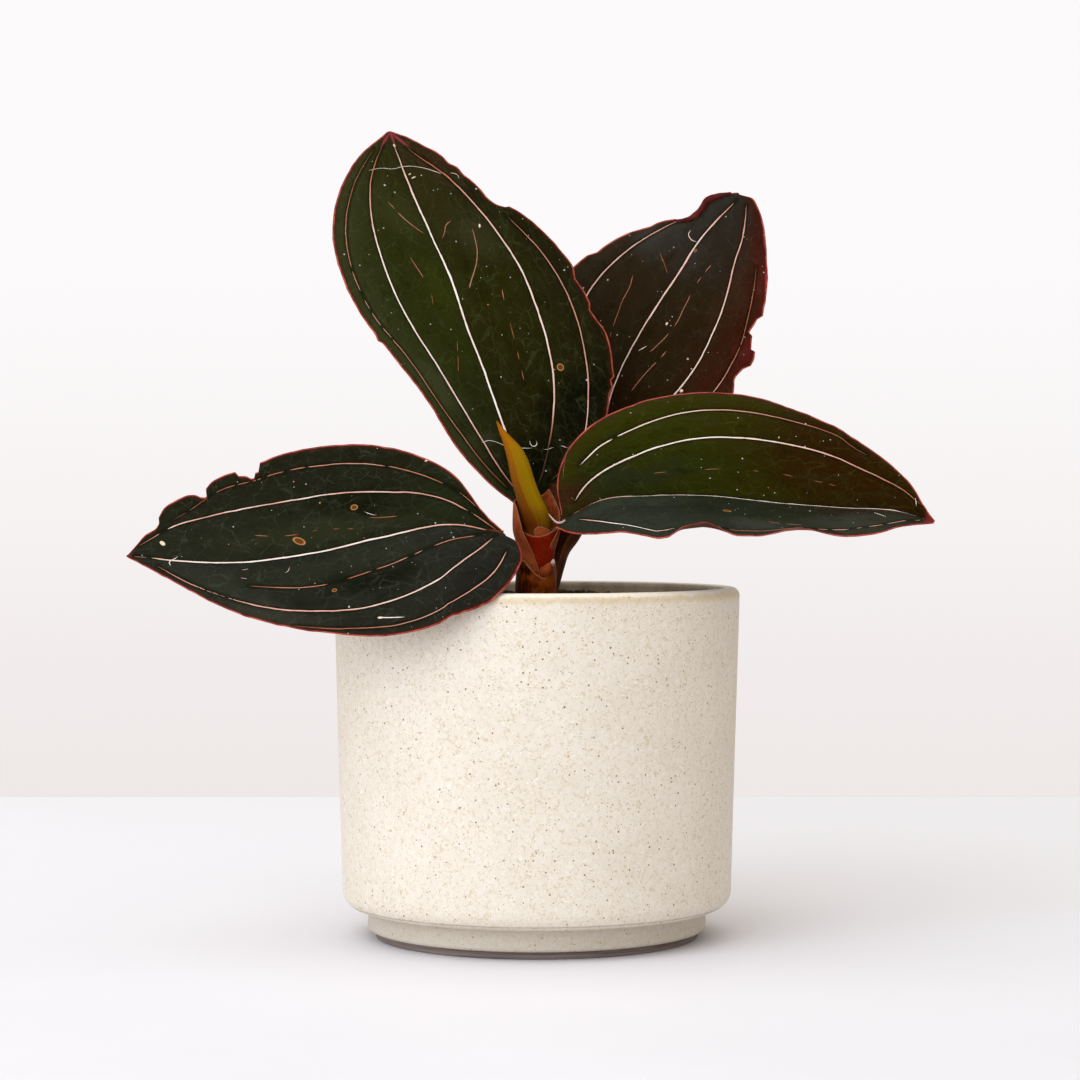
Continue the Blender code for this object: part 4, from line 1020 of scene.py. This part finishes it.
def collar(bottom, rim, radii, thickness, columns, rows=16, shift=0.0, lean=0.0):
    """Points, faces and zones of a closed tube wall. Rim gives (turn from the front, height) and
    radii (height, radius). Shift moves it to the right, and lean its mouth further."""
    turns = np.linspace(-math.pi, math.pi, columns, endpoint=False)
    heights = np.interp(turns, *np.array(rim, float).T)
    heights = (heights + np.roll(heights, 1) + np.roll(heights, -1)) / 3
    points = []
    zones = []
    profile = [(share, 1) for share in np.linspace(0, 1, rows)] + [(1.0, -1), (0.75, -1), (0.5, -1)]
    for share, sign in profile:
        height = bottom + (heights - bottom) * share
        half = thickness / 2 * (0.55 if share == 1.0 else 1)
        reach = np.interp(height, *np.array(radii, float).T) + sign * half
        middle = STEM_X + shift + lean * share
        points += list(zip(middle + reach * np.sin(turns), STEM_Y - reach * np.cos(turns), height))
        below = heights - height
        zones += list(zip(np.full(columns, share * 2), turns, np.clip(1 - below / 0.3, 0, 1)))
    faces = grid_faces(len(profile), columns, closed=True)
    return np.array(points), faces, np.array(zones)


def strap(left, right, thickness, samples=40, sides=20):
    """Points, faces and zones of a flat fleshy band between two edge curves."""
    one, two = smooth_curve(left, samples), smooth_curve(right, samples)
    middle = (one + two) / 2
    half = (two - one) / 2
    out = unit(np.cross(half, np.gradient(middle, axis=0))) * thickness / 2
    turns = np.linspace(0, 2 * math.pi, sides, endpoint=False)
    ends = np.clip(np.minimum(np.arange(samples), np.arange(samples)[::-1]) / 3, 0.25, 1)
    rings = [middle[i] + np.cos(turns)[:, None] * half[i] + (np.sin(turns) * ends[i])[:, None] * out[i]
             for i in range(samples)]
    points, faces = loft(rings)
    rim = np.tile(np.abs(np.cos(turns)) ** 12, samples)
    zones = np.stack([np.repeat(np.linspace(0, 3, samples), sides), np.tile(turns, samples), rim], -1)
    return points, faces, zones


def add_tube(mesh, path, slot, samples=30, sides=14):
    """A plain round tube along a path of (x, y, z, radius)."""
    points, faces = loft(tube_rings(path, samples, sides))
    zone = np.stack([np.repeat(np.linspace(0, 2, samples), sides),
                     np.tile(np.linspace(0, 2 * math.pi, sides, endpoint=False), samples),
                     np.zeros(samples * sides)], -1)
    mesh.add(points, faces, slot, zone=zone)


def make_stem(skin, sheath_skin, bud_skin, lip_skin, pale):
    """The stem with its lower sheath, a bud in that sheath's notch, and the red sheath tube."""
    mesh = Mesh()
    spine = [(0.2, -9.7, STEM_FOOT, 2.6), (0.1, -9.8, 63, 3.3), (-0.3, -10, 70, 3.9), (-0.36, -10, 74, 4.1),
             (-0.3, -10, 77, 4.0), (0, -10, 80, 3.6), (0, -10, 82, 2.9)]
    points, faces = loft(tube_rings(spine, 60, 48, lambda share, turns: 1 + 0.02 * np.sin(3 * turns + 9 * share)))
    zone = np.stack([np.repeat(np.linspace(0, 4, 60), 48), np.tile(np.linspace(0, 2 * math.pi, 48), 60),
                     np.zeros(60 * 48)], -1)
    mesh.add(points, faces, 0, zone=zone)
    notch = [(-math.pi, 84.2), (-1.2, 84.1), (-0.66, 83.4), (-0.33, 82), (0, 80.6), (0.25, 80.0), (0.42, 79.8),
             (0.55, 80.4), (0.66, 81.2), (0.8, 82.4), (0.95, 83.3), (1.3, 84), (math.pi, 84.2)]
    radii = [(71, 3.9), (76, 4.3), (79, 4.3), (81, 4.2), (83, 4.0), (84.5, 3.8)]
    points, faces, zones = collar(71, notch, radii, 0.45, 120, shift=-0.36, lean=0.3)
    mesh.add(points, faces, 0, zone=zones)
    mouth = [(-math.pi, 90.8), (-1.6, 90.1), (-1.13, 89.6), (-0.5, 89.05), (-0.1, 88.95), (0.35, 89.4), (0.8, 90.2),
             (1.3, 90.7), (math.pi, 90.8)]
    radii = [(79.5, 2.6), (83, 3.0), (86, 3.35), (88, 3.6), (92, 3.75)]
    points, faces, zones = collar(79.5, mouth, radii, 0.3, 120, shift=0.25, lean=0.65)
    mesh.add(points, faces, 1, zone=zones)
    add_tube(mesh, [(0, STEM_Y, 79, 2.5), (0, STEM_Y, 84, 2.5), (0, STEM_Y, CUP_FLOOR - 0.2, 2.5)], 1, 6, 32)
    add_tube(mesh, [(1.0, -12.6, 79.9, 0.55), (1.6, -13.0, 80.7, 1.15), (2.35, -13.0, 81.8, 1.1),
                    (3.0, -12.9, 82.8, 0.65), (3.4, -12.6, 83.5, 0.15)], 3, 24, 20)
    add_tube(mesh, [(3.4, -12.9, 82.4, 0.3), (3.5, -13.0, 83.1, 0.55), (3.65, -12.7, 83.9, 0.12)], 2)
    lip = [(-0.62, -13.25, 89.5, 0.05), (-0.45, -13.3, 90.4, 0.08), (0.35, -13.3, 90.95, 0.09),
           (1.6, -13.1, 90.75, 0.09), (2.9, -12.6, 90.3, 0.05)]
    add_tube(mesh, lip, 4)
    points, faces, zones = strap([(p[0] + 0.1, p[1] + 0.15, 88.6) for p in lip], [p[:3] for p in lip], 0.2)
    mesh.add(points, faces, 3, zone=zones)
    stem = mesh.build("shoot", [skin, sheath_skin, pale, bud_skin, lip_skin])
    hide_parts("stem")
    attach(stem, "root")


def blade_columns(width):
    """Shares of the way from the midrib to the margin, closer together at the margin."""
    scale = min(1.0, 0.45 * width / EDGE_COLUMNS[-1])
    outer = [1 - distance * scale / width for distance in EDGE_COLUMNS]
    inner = np.linspace(0, outer[-1], COLUMNS + 1)[:-1]
    return np.concatenate([inner, outer[::-1]])


def vein_distance(shape, flat):
    """Distance in the flat leaf from each point to the nearest full vein."""
    nearest = np.full(len(flat), 99.0)
    for path, width, *_ in shape["veins"]:
        if width < THIN_VEIN:
            continue
        line = smooth_curve(path, 120)
        for point in line:
            nearest = np.minimum(nearest, np.hypot(flat[:, 0] - point[0], flat[:, 1] - point[1]))
    return nearest


def puff(nearest, to_margin):
    """How far the upper face rises between the veins."""
    return 0.22 * (1 - np.exp(-((nearest / 1.5) ** 2))) * np.clip(to_margin / 2.5, 0, 1)


def add_blade(mesh, shape, blade):
    """The blade: two faces that thin outward to a rounded margin, raised a little between the veins."""
    edges = {side: margin(shape[side], ROWS + 1) for side in (-1, 1)}
    middle = np.linspace(0, blade.length, ROWS + 1)
    flat, share_out, to_margin = [], [], []
    for i, x in enumerate(middle):
        row = []
        for side in (-1, 1):
            edge = edges[side][i] * (1, side)
            width = math.hypot(edge[0] - x, edge[1])
            shares = blade_columns(width)
            line = [((x + (edge[0] - x) * s, edge[1] * s), s, (1 - s) * width) for s in shares]
            row += line[::-1] if side < 0 else line[1:]
        flat += [item[0] for item in row]
        share_out += [item[1] for item in row]
        to_margin += [item[2] for item in row]
    flat = np.array(flat)
    share_out = np.array(share_out)
    to_margin = np.array(to_margin)
    columns = len(flat) // (ROWS + 1)
    nearest = vein_distance(shape, flat)
    surface = blade.place(flat[:, 0], flat[:, 1])
    grid = surface.reshape(ROWS + 1, columns, 3)
    normals = unit(np.cross(np.gradient(grid, axis=1), np.gradient(grid, axis=0))).reshape(-1, 3)
    reach = np.clip(to_margin / EDGE_ROUND, 0, 1)
    half = half_thickness(to_margin) * np.sqrt(np.clip(1 - (1 - reach) ** 2, 0, 1))
    row_of = np.repeat(np.arange(ROWS + 1), columns)
    half[(row_of == 0) | (row_of == ROWS)] = 0
    top = surface + normals * (half + puff(nearest, to_margin) - 0.1 * (half > 0))[:, None]
    bottom = surface - normals * half[:, None]
    joined = (half == 0)
    index_bottom = np.where(joined, np.arange(len(flat)), 0)
    index_bottom[~joined] = len(flat) + np.arange((~joined).sum())
    points = np.concatenate([top, bottom[~joined]])
    faces = grid_faces(ROWS + 1, columns)
    under = [[int(index_bottom[k]) for k in face[::-1]] for face in faces]
    zone = np.stack([flat[:, 0] / blade.length, share_out, nearest], -1)
    flat3 = np.stack([flat[:, 0], flat[:, 1], to_margin], -1)
    slots = []
    for face in faces:
        slots.append(1 if max(to_margin[k] for k in face) < 0.4 else 0)
    slots += [1 if max(to_margin[k] for k in face) < 0.1 else 2 for face in faces]
    keep = ~joined
    mesh.add(points, faces + under, slots, np.concatenate([flat3, flat3[keep]]), np.concatenate([zone, zone[keep]]))


def half_thickness(to_margin):
    """Half the blade's thickness, less near the margin."""
    return BLADE_THICKNESS / 2 * (0.42 + 0.58 * np.clip(to_margin / 3.5, 0, 1))


def edge_distance(blade, flat):
    """Distance in the flat leaf from each point to the margin."""
    nearest = np.full(len(flat), 99.0)
    for side, edge in zip((-1, 1), blade.edges):
        for x, y in edge:
            nearest = np.minimum(nearest, np.hypot(flat[:, 0] - x, flat[:, 1] - side * y))
    return nearest


def add_vein(mesh, shape, blade, vein, seed):
    """One vein: a low ridge on the upper face, of uneven width, with gaps where it is broken."""
    path, width, tones, gaps = vein
    line = smooth_curve(path, 400)
    length = run_of(line)[-1]
    count = max(6, int(length / 0.35))
    line = resample(line, count)
    run = np.linspace(0, length, count)
    side = unit(np.gradient(line, axis=0))[:, ::-1] * (-1, 1)
    thick = wander(seed, 1.1)(run)
    slow = wander(seed + 1, 6.0)(run)
    line = line + side * (0.05 * wander(seed + 2, 2.2)(run) + 0.12 * wander(seed + 3, 9.0)(run))[:, None]
    ends = np.clip(np.minimum(run / 3.0, (length - run) / 6.0), 0, 1)
    if width < THIN_VEIN:
        ends = np.ones(count)
    tone = np.interp(run, np.linspace(0, length, len(tones)), tones) + 0.12 * slow * np.sign(max(tones))
    tone = np.clip(tone, 0, 1.5)
    wide = width * (0.3 + 0.7 * ends) * (1 + 0.16 * thick + 0.1 * slow) * (1.05 - 0.3 * np.minimum(tone, 1))
    broken = wander(seed + 4, 1.6)(run) * 0.5 + 0.5 < gaps
    to_margin = edge_distance(blade, line)
    rise = puff(vein_distance(shape, line), to_margin) + half_thickness(to_margin) - 0.1
    section = [(-1, -0.10), (-0.75, 0.035), (-0.3, 0.07), (0.3, 0.07), (0.75, 0.035), (1, -0.10)]
    start = 0
    while start < count:
        if broken[start]:
            start += 1
            continue
        end = start
        while end + 1 < count and not broken[end + 1]:
            end += 1
        if end - start >= 2:
            rows = slice(start, end + 1)
            taper = np.clip(np.minimum(np.arange(end - start + 1), np.arange(end - start, -1, -1)) / 2.0, 0.25, 1)
            rings, flats, zones = [], [], []
            for across, height in section:
                flat = line[rows] + side[rows] * (across * wide[rows] * taper / 2)[:, None]
                up = blade.upward(flat[:, 0], flat[:, 1])
                lift = rise[rows] + height * min(1, width / 0.4)
                rings.append(blade.place(flat[:, 0], flat[:, 1]) + up * lift[:, None])
                flats.append(np.column_stack([flat, np.zeros(len(flat))]))
                zones.append(np.column_stack([tone[rows], np.full(len(flat), across), run[rows] / length]))
            points, faces = loft(np.stack(rings, 1))
            mesh.add(points, faces, 3, np.stack(flats, 1).reshape(-1, 3), np.stack(zones, 1).reshape(-1, 3))
        start = end + 1


def add_curl(mesh, blade, path):
    """A dried dark red roll of margin, along a path of (x, y, radius) in flat leaf coordinates."""
    path = np.array(path)
    spine = blade.place(path[:, 0], path[:, 1]) + blade.upward(path[:, 0], path[:, 1]) * 0.2
    crumple = wander(5, 1.0)
    rings = tube_rings(np.column_stack([spine, path[:, 2]]), 60, 20,
                       lambda share, turns: 1 + 0.16 * crumple(share * 9) * np.cos(2 * turns + 14 * share))
    points, faces = loft(rings)
    zone = np.stack([np.repeat(np.linspace(0, 2, 60), 20), np.tile(np.linspace(0, 2 * math.pi, 20), 60),
                     np.zeros(1200)], -1)
    mesh.add(points, faces, 6, zone=zone)


def add_keel(mesh, blade, width):
    """The midrib under the blade, thinning to the tip."""
    x = np.linspace(-0.5, blade.length * 0.93, 90)
    line = blade.place(x, np.zeros_like(x))
    down = -blade.at(blade.normal, np.clip(x, 0, blade.length))
    across = blade.at(blade.across, np.clip(x, 0, blade.length))
    size = width * (1 - 0.8 * np.linspace(0, 1, 90))
    turns = np.linspace(0, 2 * math.pi, 12, endpoint=False)
    rings = [line[i] + down[i] * 0.25 + (np.cos(turns) * size[i])[:, None] * across[i]
             + (np.sin(turns) * size[i] * 0.8)[:, None] * down[i] for i in range(90)]
    points, faces = loft(rings)
    zone = np.stack([np.repeat(x / 8, 12), np.tile(turns, 90), np.zeros(90 * 12)], -1)
    mesh.add(points, faces, 4, zone=zone)


def add_stalk(mesh, blade, path):
    """The leaf stalk, with a shallow channel along its upper side."""
    reach = np.array([4.0, 9.0, 15.0])
    under = blade.place(reach, np.zeros_like(reach)) - 0.5 * blade.at(blade.normal, reach)
    radii = path[-1][3] * np.array([0.8, 0.6, 0.4])
    full = path + [(*point, radius) for point, radius in zip(under, radii)]
    rings = tube_rings(full, 70, 28, lambda share, turns: 1 + 0.05 * np.cos(2 * turns + 1.5))
    points, faces = loft(rings)
    zone = np.stack([np.repeat(np.linspace(0, 5, 70), 28), np.tile(np.linspace(0, 2 * math.pi, 28), 70),
                     np.zeros(70 * 28)], -1)
    mesh.add(points, faces, 4, zone=zone)


def make_leaf(name, number, skin, stalk_skin, shared):
    shape = dict(LEAVES[name])
    shape[-1], shape[1] = shape["left"], shape["right"]
    blade = Blade(shape)
    mesh = Mesh()
    add_blade(mesh, shape, blade)
    for i, vein in enumerate(shape["veins"]):
        add_vein(mesh, shape, blade, vein, 100 * number + 7 * i)
    if "curl" in shape:
        add_curl(mesh, blade, shape["curl"])
    if name in FINE_STALKS:
        add_keel(mesh, blade, 0.75)
        add_stalk(mesh, blade, FINE_STALKS[name])
    else:
        add_keel(mesh, blade, 0.9)
        points, faces, zones = shell(smooth_curve(FINE_SHEATH, 60), SHEATH_THICKNESS * 0.6, 90)
        mesh.add(points, faces, 4, zone=zones)
    if name == "leaf_right":
        points, faces, zones = strap([(4.4, -7.8, 92.2), (4.2, -6.2, 94.2), (3.2, -4.2, 96.8), (2.6, -2.6, 98.4),
                                      (2.9, -2.4, 100.4)],
                                     [(6.9, -13.4, 92.3), (8.0, -12.9, 94.2), (7.6, -12.4, 96.8), (7, -12.2, 98.6),
                                      (6.6, -12, 100.6)], 0.8)
        mesh.add(points, faces, 4, zone=zones)
        add_tube(mesh, [(2.5, -12.9, 93.9, 0.08), (3.3, -13.6, 92.9, 0.18), (4.3, -14.6, 92.0, 0.23),
                        (5.4, -15.7, 91.95, 0.28), (6.2, -16.0, 92.5, 0.18)], 5)
    leaf = mesh.build(name + "_fine", [skin, shared["margin"], shared["underside"], shared["vein"], stalk_skin,
                                       shared["pale"], shared["curl"]])
    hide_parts(name)
    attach(leaf, "root")


def make_new_leaf(skin):
    """The rolled leaf: one margin laps over the other in a line that climbs to the tip."""
    samples, sides = 120, 96
    spine = smooth_curve(FINE_NEW_LEAF, samples)
    turns = np.linspace(0, 2 * math.pi, sides, endpoint=False)
    rings, zones = [], []
    for i, (x, y, z, radius) in enumerate(spine):
        share = i / (samples - 1)
        seam = math.radians(np.interp(share, [0, 0.14, 0.2, 0.32, 0.5, 0.72, 1], [268, 264, 255, 245, 238, 230, 218]))
        lap = ((turns - seam) / (2 * math.pi)) % 1.0
        step = 0.09 * min(1, radius / 1.5)
        reach = radius * (1 - step + step * 1.4 * np.clip(lap * 3, 0, 1) * np.clip((1 - lap) * 60, 0, 1))
        ring = np.stack([x + reach * np.cos(turns), y + reach * np.sin(turns), np.full(sides, z)], -1)
        rings.append(ring)
        strip = np.clip((lap - 0.70) * 20, 0, 1)
        edge = np.exp(-((np.minimum(lap, 1 - lap) * 2 * math.pi * radius) / 0.2) ** 2)
        fade = 0.55 * np.clip(1 - lap / 0.16, 0, 1)
        far = np.exp(-((lap - 0.36) / 0.05) ** 2) * 0.6
        zones.append(np.column_stack([np.full(sides, share), turns / 3, np.clip(strip + edge + far + fade, 0, 1)]))
    points, faces = loft(rings)
    mesh = Mesh()
    mesh.add(points, faces, 0, zone=np.array(zones).reshape(-1, 3))
    leaf = mesh.build("new_leaf_fine", [skin], sharp=70)
    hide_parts("leaf_new")
    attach(leaf, "root")


def make_camera():
    data = bpy.data.cameras.new("camera")
    data.sensor_width = SENSOR
    data.lens = LENS_PX / FRAME_PX * SENSOR
    data.clip_start = 0.01
    camera = bpy.data.objects.new("camera", data)
    camera.location = Vector(CAMERA_PLACE) * MM
    camera.rotation_euler = (math.pi / 2 - CAMERA_DOWN, 0, 0)
    bpy.context.scene.collection.objects.link(camera)
    bpy.context.scene.camera = camera


def make_floor():
    mesh = bpy.data.meshes.new("floor")
    near, far, wide, low = -FLOOR_REACH, FLOOR_END, FLOOR_REACH, -0.05
    corners = [(-wide, near, low), (wide, near, low), (wide, far, low), (-wide, far, low)]
    mesh.from_pydata([tuple(c * MM for c in corner) for corner in corners], [], [(0, 1, 2, 3)])
    floor = bpy.data.objects.new("floor", mesh)
    bpy.context.scene.collection.objects.link(floor)
    material = new_material("floor_paint")
    n = Nodes(material)
    mm = n.position()
    cloud = n.noise(mm, 0.012, 4, 0.6)
    # Painted light: the floor is painted lighter towards the back.
    color = n.mix(n.span(n.parts(mm)[1], -150.0, 260.0), (0.80, 0.782, 0.815), (0.89, 0.875, 0.92))
    color = n.mix(n.math("MULTIPLY", n.span(cloud, 0.3, 0.7), 0.25), color, (0.86, 0.845, 0.885))
    n.finish(Base_Color=color, Roughness=0.55, Specular_IOR_Level=0.25)
    mesh.materials.append(material)


def make_light(name, place, aim, size, power, color):
    data = bpy.data.lights.new(name, "AREA")
    data.shape = "DISK"
    data.size = size
    data.energy = power
    data.color = color
    light = bpy.data.objects.new(name, data)
    light.location = place
    light.rotation_euler = (Vector(aim) - Vector(place)).to_track_quat("-Z", "Y").to_euler()
    bpy.context.scene.collection.objects.link(light)


def make_world():
    """A plain pale background, and a softer light from all round."""
    world = bpy.data.worlds.new("studio")
    bpy.context.scene.world = world
    world.use_nodes = True
    tree = world.node_tree
    tree.nodes.clear()
    output = tree.nodes.new("ShaderNodeOutputWorld")
    seen = tree.nodes.new("ShaderNodeBackground")
    fill = tree.nodes.new("ShaderNodeBackground")
    choose = tree.nodes.new("ShaderNodeMixShader")
    rays = tree.nodes.new("ShaderNodeLightPath")
    place = tree.nodes.new("ShaderNodeTexCoord")
    split = tree.nodes.new("ShaderNodeSeparateXYZ")
    rise = tree.nodes.new("ShaderNodeMapRange")
    shades = tree.nodes.new("ShaderNodeMix")
    shades.data_type = "RGBA"
    shades.inputs[6].default_value = (0.845, 0.795, 0.785, 1)
    shades.inputs[7].default_value = (0.98, 0.955, 0.965, 1)
    rise.interpolation_type = "SMOOTHSTEP"
    rise.inputs["From Min"].default_value = -0.15
    rise.inputs["From Max"].default_value = 0.10
    tree.links.new(place.outputs["Generated"], split.inputs[0])
    tree.links.new(split.outputs[2], rise.inputs["Value"])
    tree.links.new(rise.outputs[0], shades.inputs[0])
    tree.links.new(shades.outputs[2], seen.inputs["Color"])
    fill.inputs["Color"].default_value = (1.01, 0.955, 0.86, 1)
    fill.inputs["Strength"].default_value = 0.58
    tree.links.new(rays.outputs["Is Camera Ray"], choose.inputs[0])
    tree.links.new(fill.outputs[0], choose.inputs[1])
    tree.links.new(seen.outputs[0], choose.inputs[2])
    tree.links.new(choose.outputs[0], output.inputs[0])


def make_lights():
    make_light("key", (-0.62, -1.02, 0.62), (0, 0, 0.08), 1.5, 12.2, (0.905, 0.985, 1.13))
    make_light("left", (-1.3, -0.05, 0.28), (0, 0, 0.07), 0.9, 2.1, (0.93, 0.98, 1.06))
    make_light("top", (-0.1, -0.1, 1.3), (0, 0, 0.08), 1.6, 8.5, (0.97, 0.99, 1.0))


def main():
    make_camera()
    make_floor()
    make_world()
    make_lights()
    bpy.context.scene.view_settings.view_transform = "Standard"
    shared = {"margin": margin_finish(), "underside": underside_finish(), "vein": vein_finish(),
              "pale": stalk_finish("pale_lip", (0.42, 0.30, 0.25), (0.74, 0.63, 0.55), 0.3),
              "curl": stalk_finish("curled_margin", (0.055, 0.008, 0.007), (0.12, 0.02, 0.018), 0.3)}
    stalks = {
        "leaf_tall": stalk_finish("tall_sheath_skin", (0.19, 0.034, 0.007), (0.33, 0.082, 0.026)),
        "leaf_left": stalk_finish("left_stalk_skin", (0.06, 0.013, 0.004), (0.13, 0.034, 0.011)),
        "leaf_right": stalk_finish("right_stalk_skin", (0.030, 0.008, 0.0015), (0.09, 0.026, 0.006)),
        "leaf_back": stalk_finish("back_stalk_skin", (0.045, 0.011, 0.0015), (0.12, 0.036, 0.006)),
    }
    # The stem's skin is painted dark to the left and light to the right: painted shade and painted highlight.
    stem_skin = stalk_finish("stem_skin", (0.019, 0.0008, 0.0006), (0.29, 0.060, 0.007), one_sided=1.0)
    sheath = stalk_finish("sheath_skin", (0.175, 0.009, 0.001), (0.25, 0.018, 0.003), 0.25)
    bud = stalk_finish("bud_skin", (0.24, 0.046, 0.010), (0.36, 0.083, 0.023), 0.3)
    lip = stalk_finish("lip_skin", (0.22, 0.08, 0.055), (0.44, 0.20, 0.15), 0.3)
    # Each leaf's left and right half colours, then its painted sheen tone. The grey lower half of leaf_left and the
    # grey near half of leaf_right are painted sheen.
    tones = {
        "leaf_tall": (((0.0085, 0.0072, 0.003), (0.0165, 0.0195, 0.0022), (0.0195, 0.0185, 0.004),
                       (0.028, 0.032, 0.010)),
                      ((0.001, 0.001, 0.0004), (0.0125, 0.0118, 0.0012), (0.0185, 0.0155, 0.0035),
                       (0.0095, 0.0072, 0.0025)), (0.022, 0.026, 0.008)),
        "leaf_left": (((0.012, 0.0122, 0.0097), (0.0095, 0.0107, 0.007), (0.0145, 0.0152, 0.0111),
                       (0.011, 0.0107, 0.0085)),
                      ((0.0081, 0.0102, 0.0037), (0.0086, 0.0097, 0.0052), (0.0116, 0.0122, 0.0078),
                       (0.0064, 0.0061, 0.0031)), (0.015, 0.0165, 0.010)),
        "leaf_right": (((0.0118, 0.0139, 0.0013), (0.0148, 0.0160, 0.0003), (0.0155, 0.0055, 0.0003),
                        (0.0227, 0.0174, 0.0003)),
                       ((0.0186, 0.0221, 0.0163), (0.0112, 0.0139, 0.0073), (0.0235, 0.0221, 0.0156),
                        (0.0186, 0.0214, 0.015)), (0.018, 0.022, 0.006)),
        "leaf_back": (((0.011, 0.0046, 0.0008), (0.020, 0.0116, 0.005), (0.026, 0.0244, 0.020),
                       (0.022, 0.015, 0.0084)),
                      ((0.0155, 0.0062, 0.001), (0.0138, 0.006, 0.0019), (0.0165, 0.0125, 0.0100),
                       (0.038, 0.0046, 0.0022)), (0.024, 0.017, 0.010)),
    }
    net_tones = {"leaf_tall": (0.070, 0.086, 0.035), "leaf_left": (0.075, 0.086, 0.058),
                 "leaf_right": (0.058, 0.072, 0.012), "leaf_back": (0.060, 0.048, 0.036)}
    make_pot(stoneware())
    make_soil(bark_finish())
    make_stem(stem_skin, sheath, bud, lip, shared["pale"])
    for number, name in enumerate(LEAVES):
        left, right, painted_sheen = tones[name]
        skin = leaf_finish(name + "_skin", left, right, painted_sheen, 3.0 + 41 * number, LEAVES[name], net_tones[name])
        make_leaf(name, number, skin, stalks[name], shared)
    make_new_leaf(new_leaf_finish())


main()
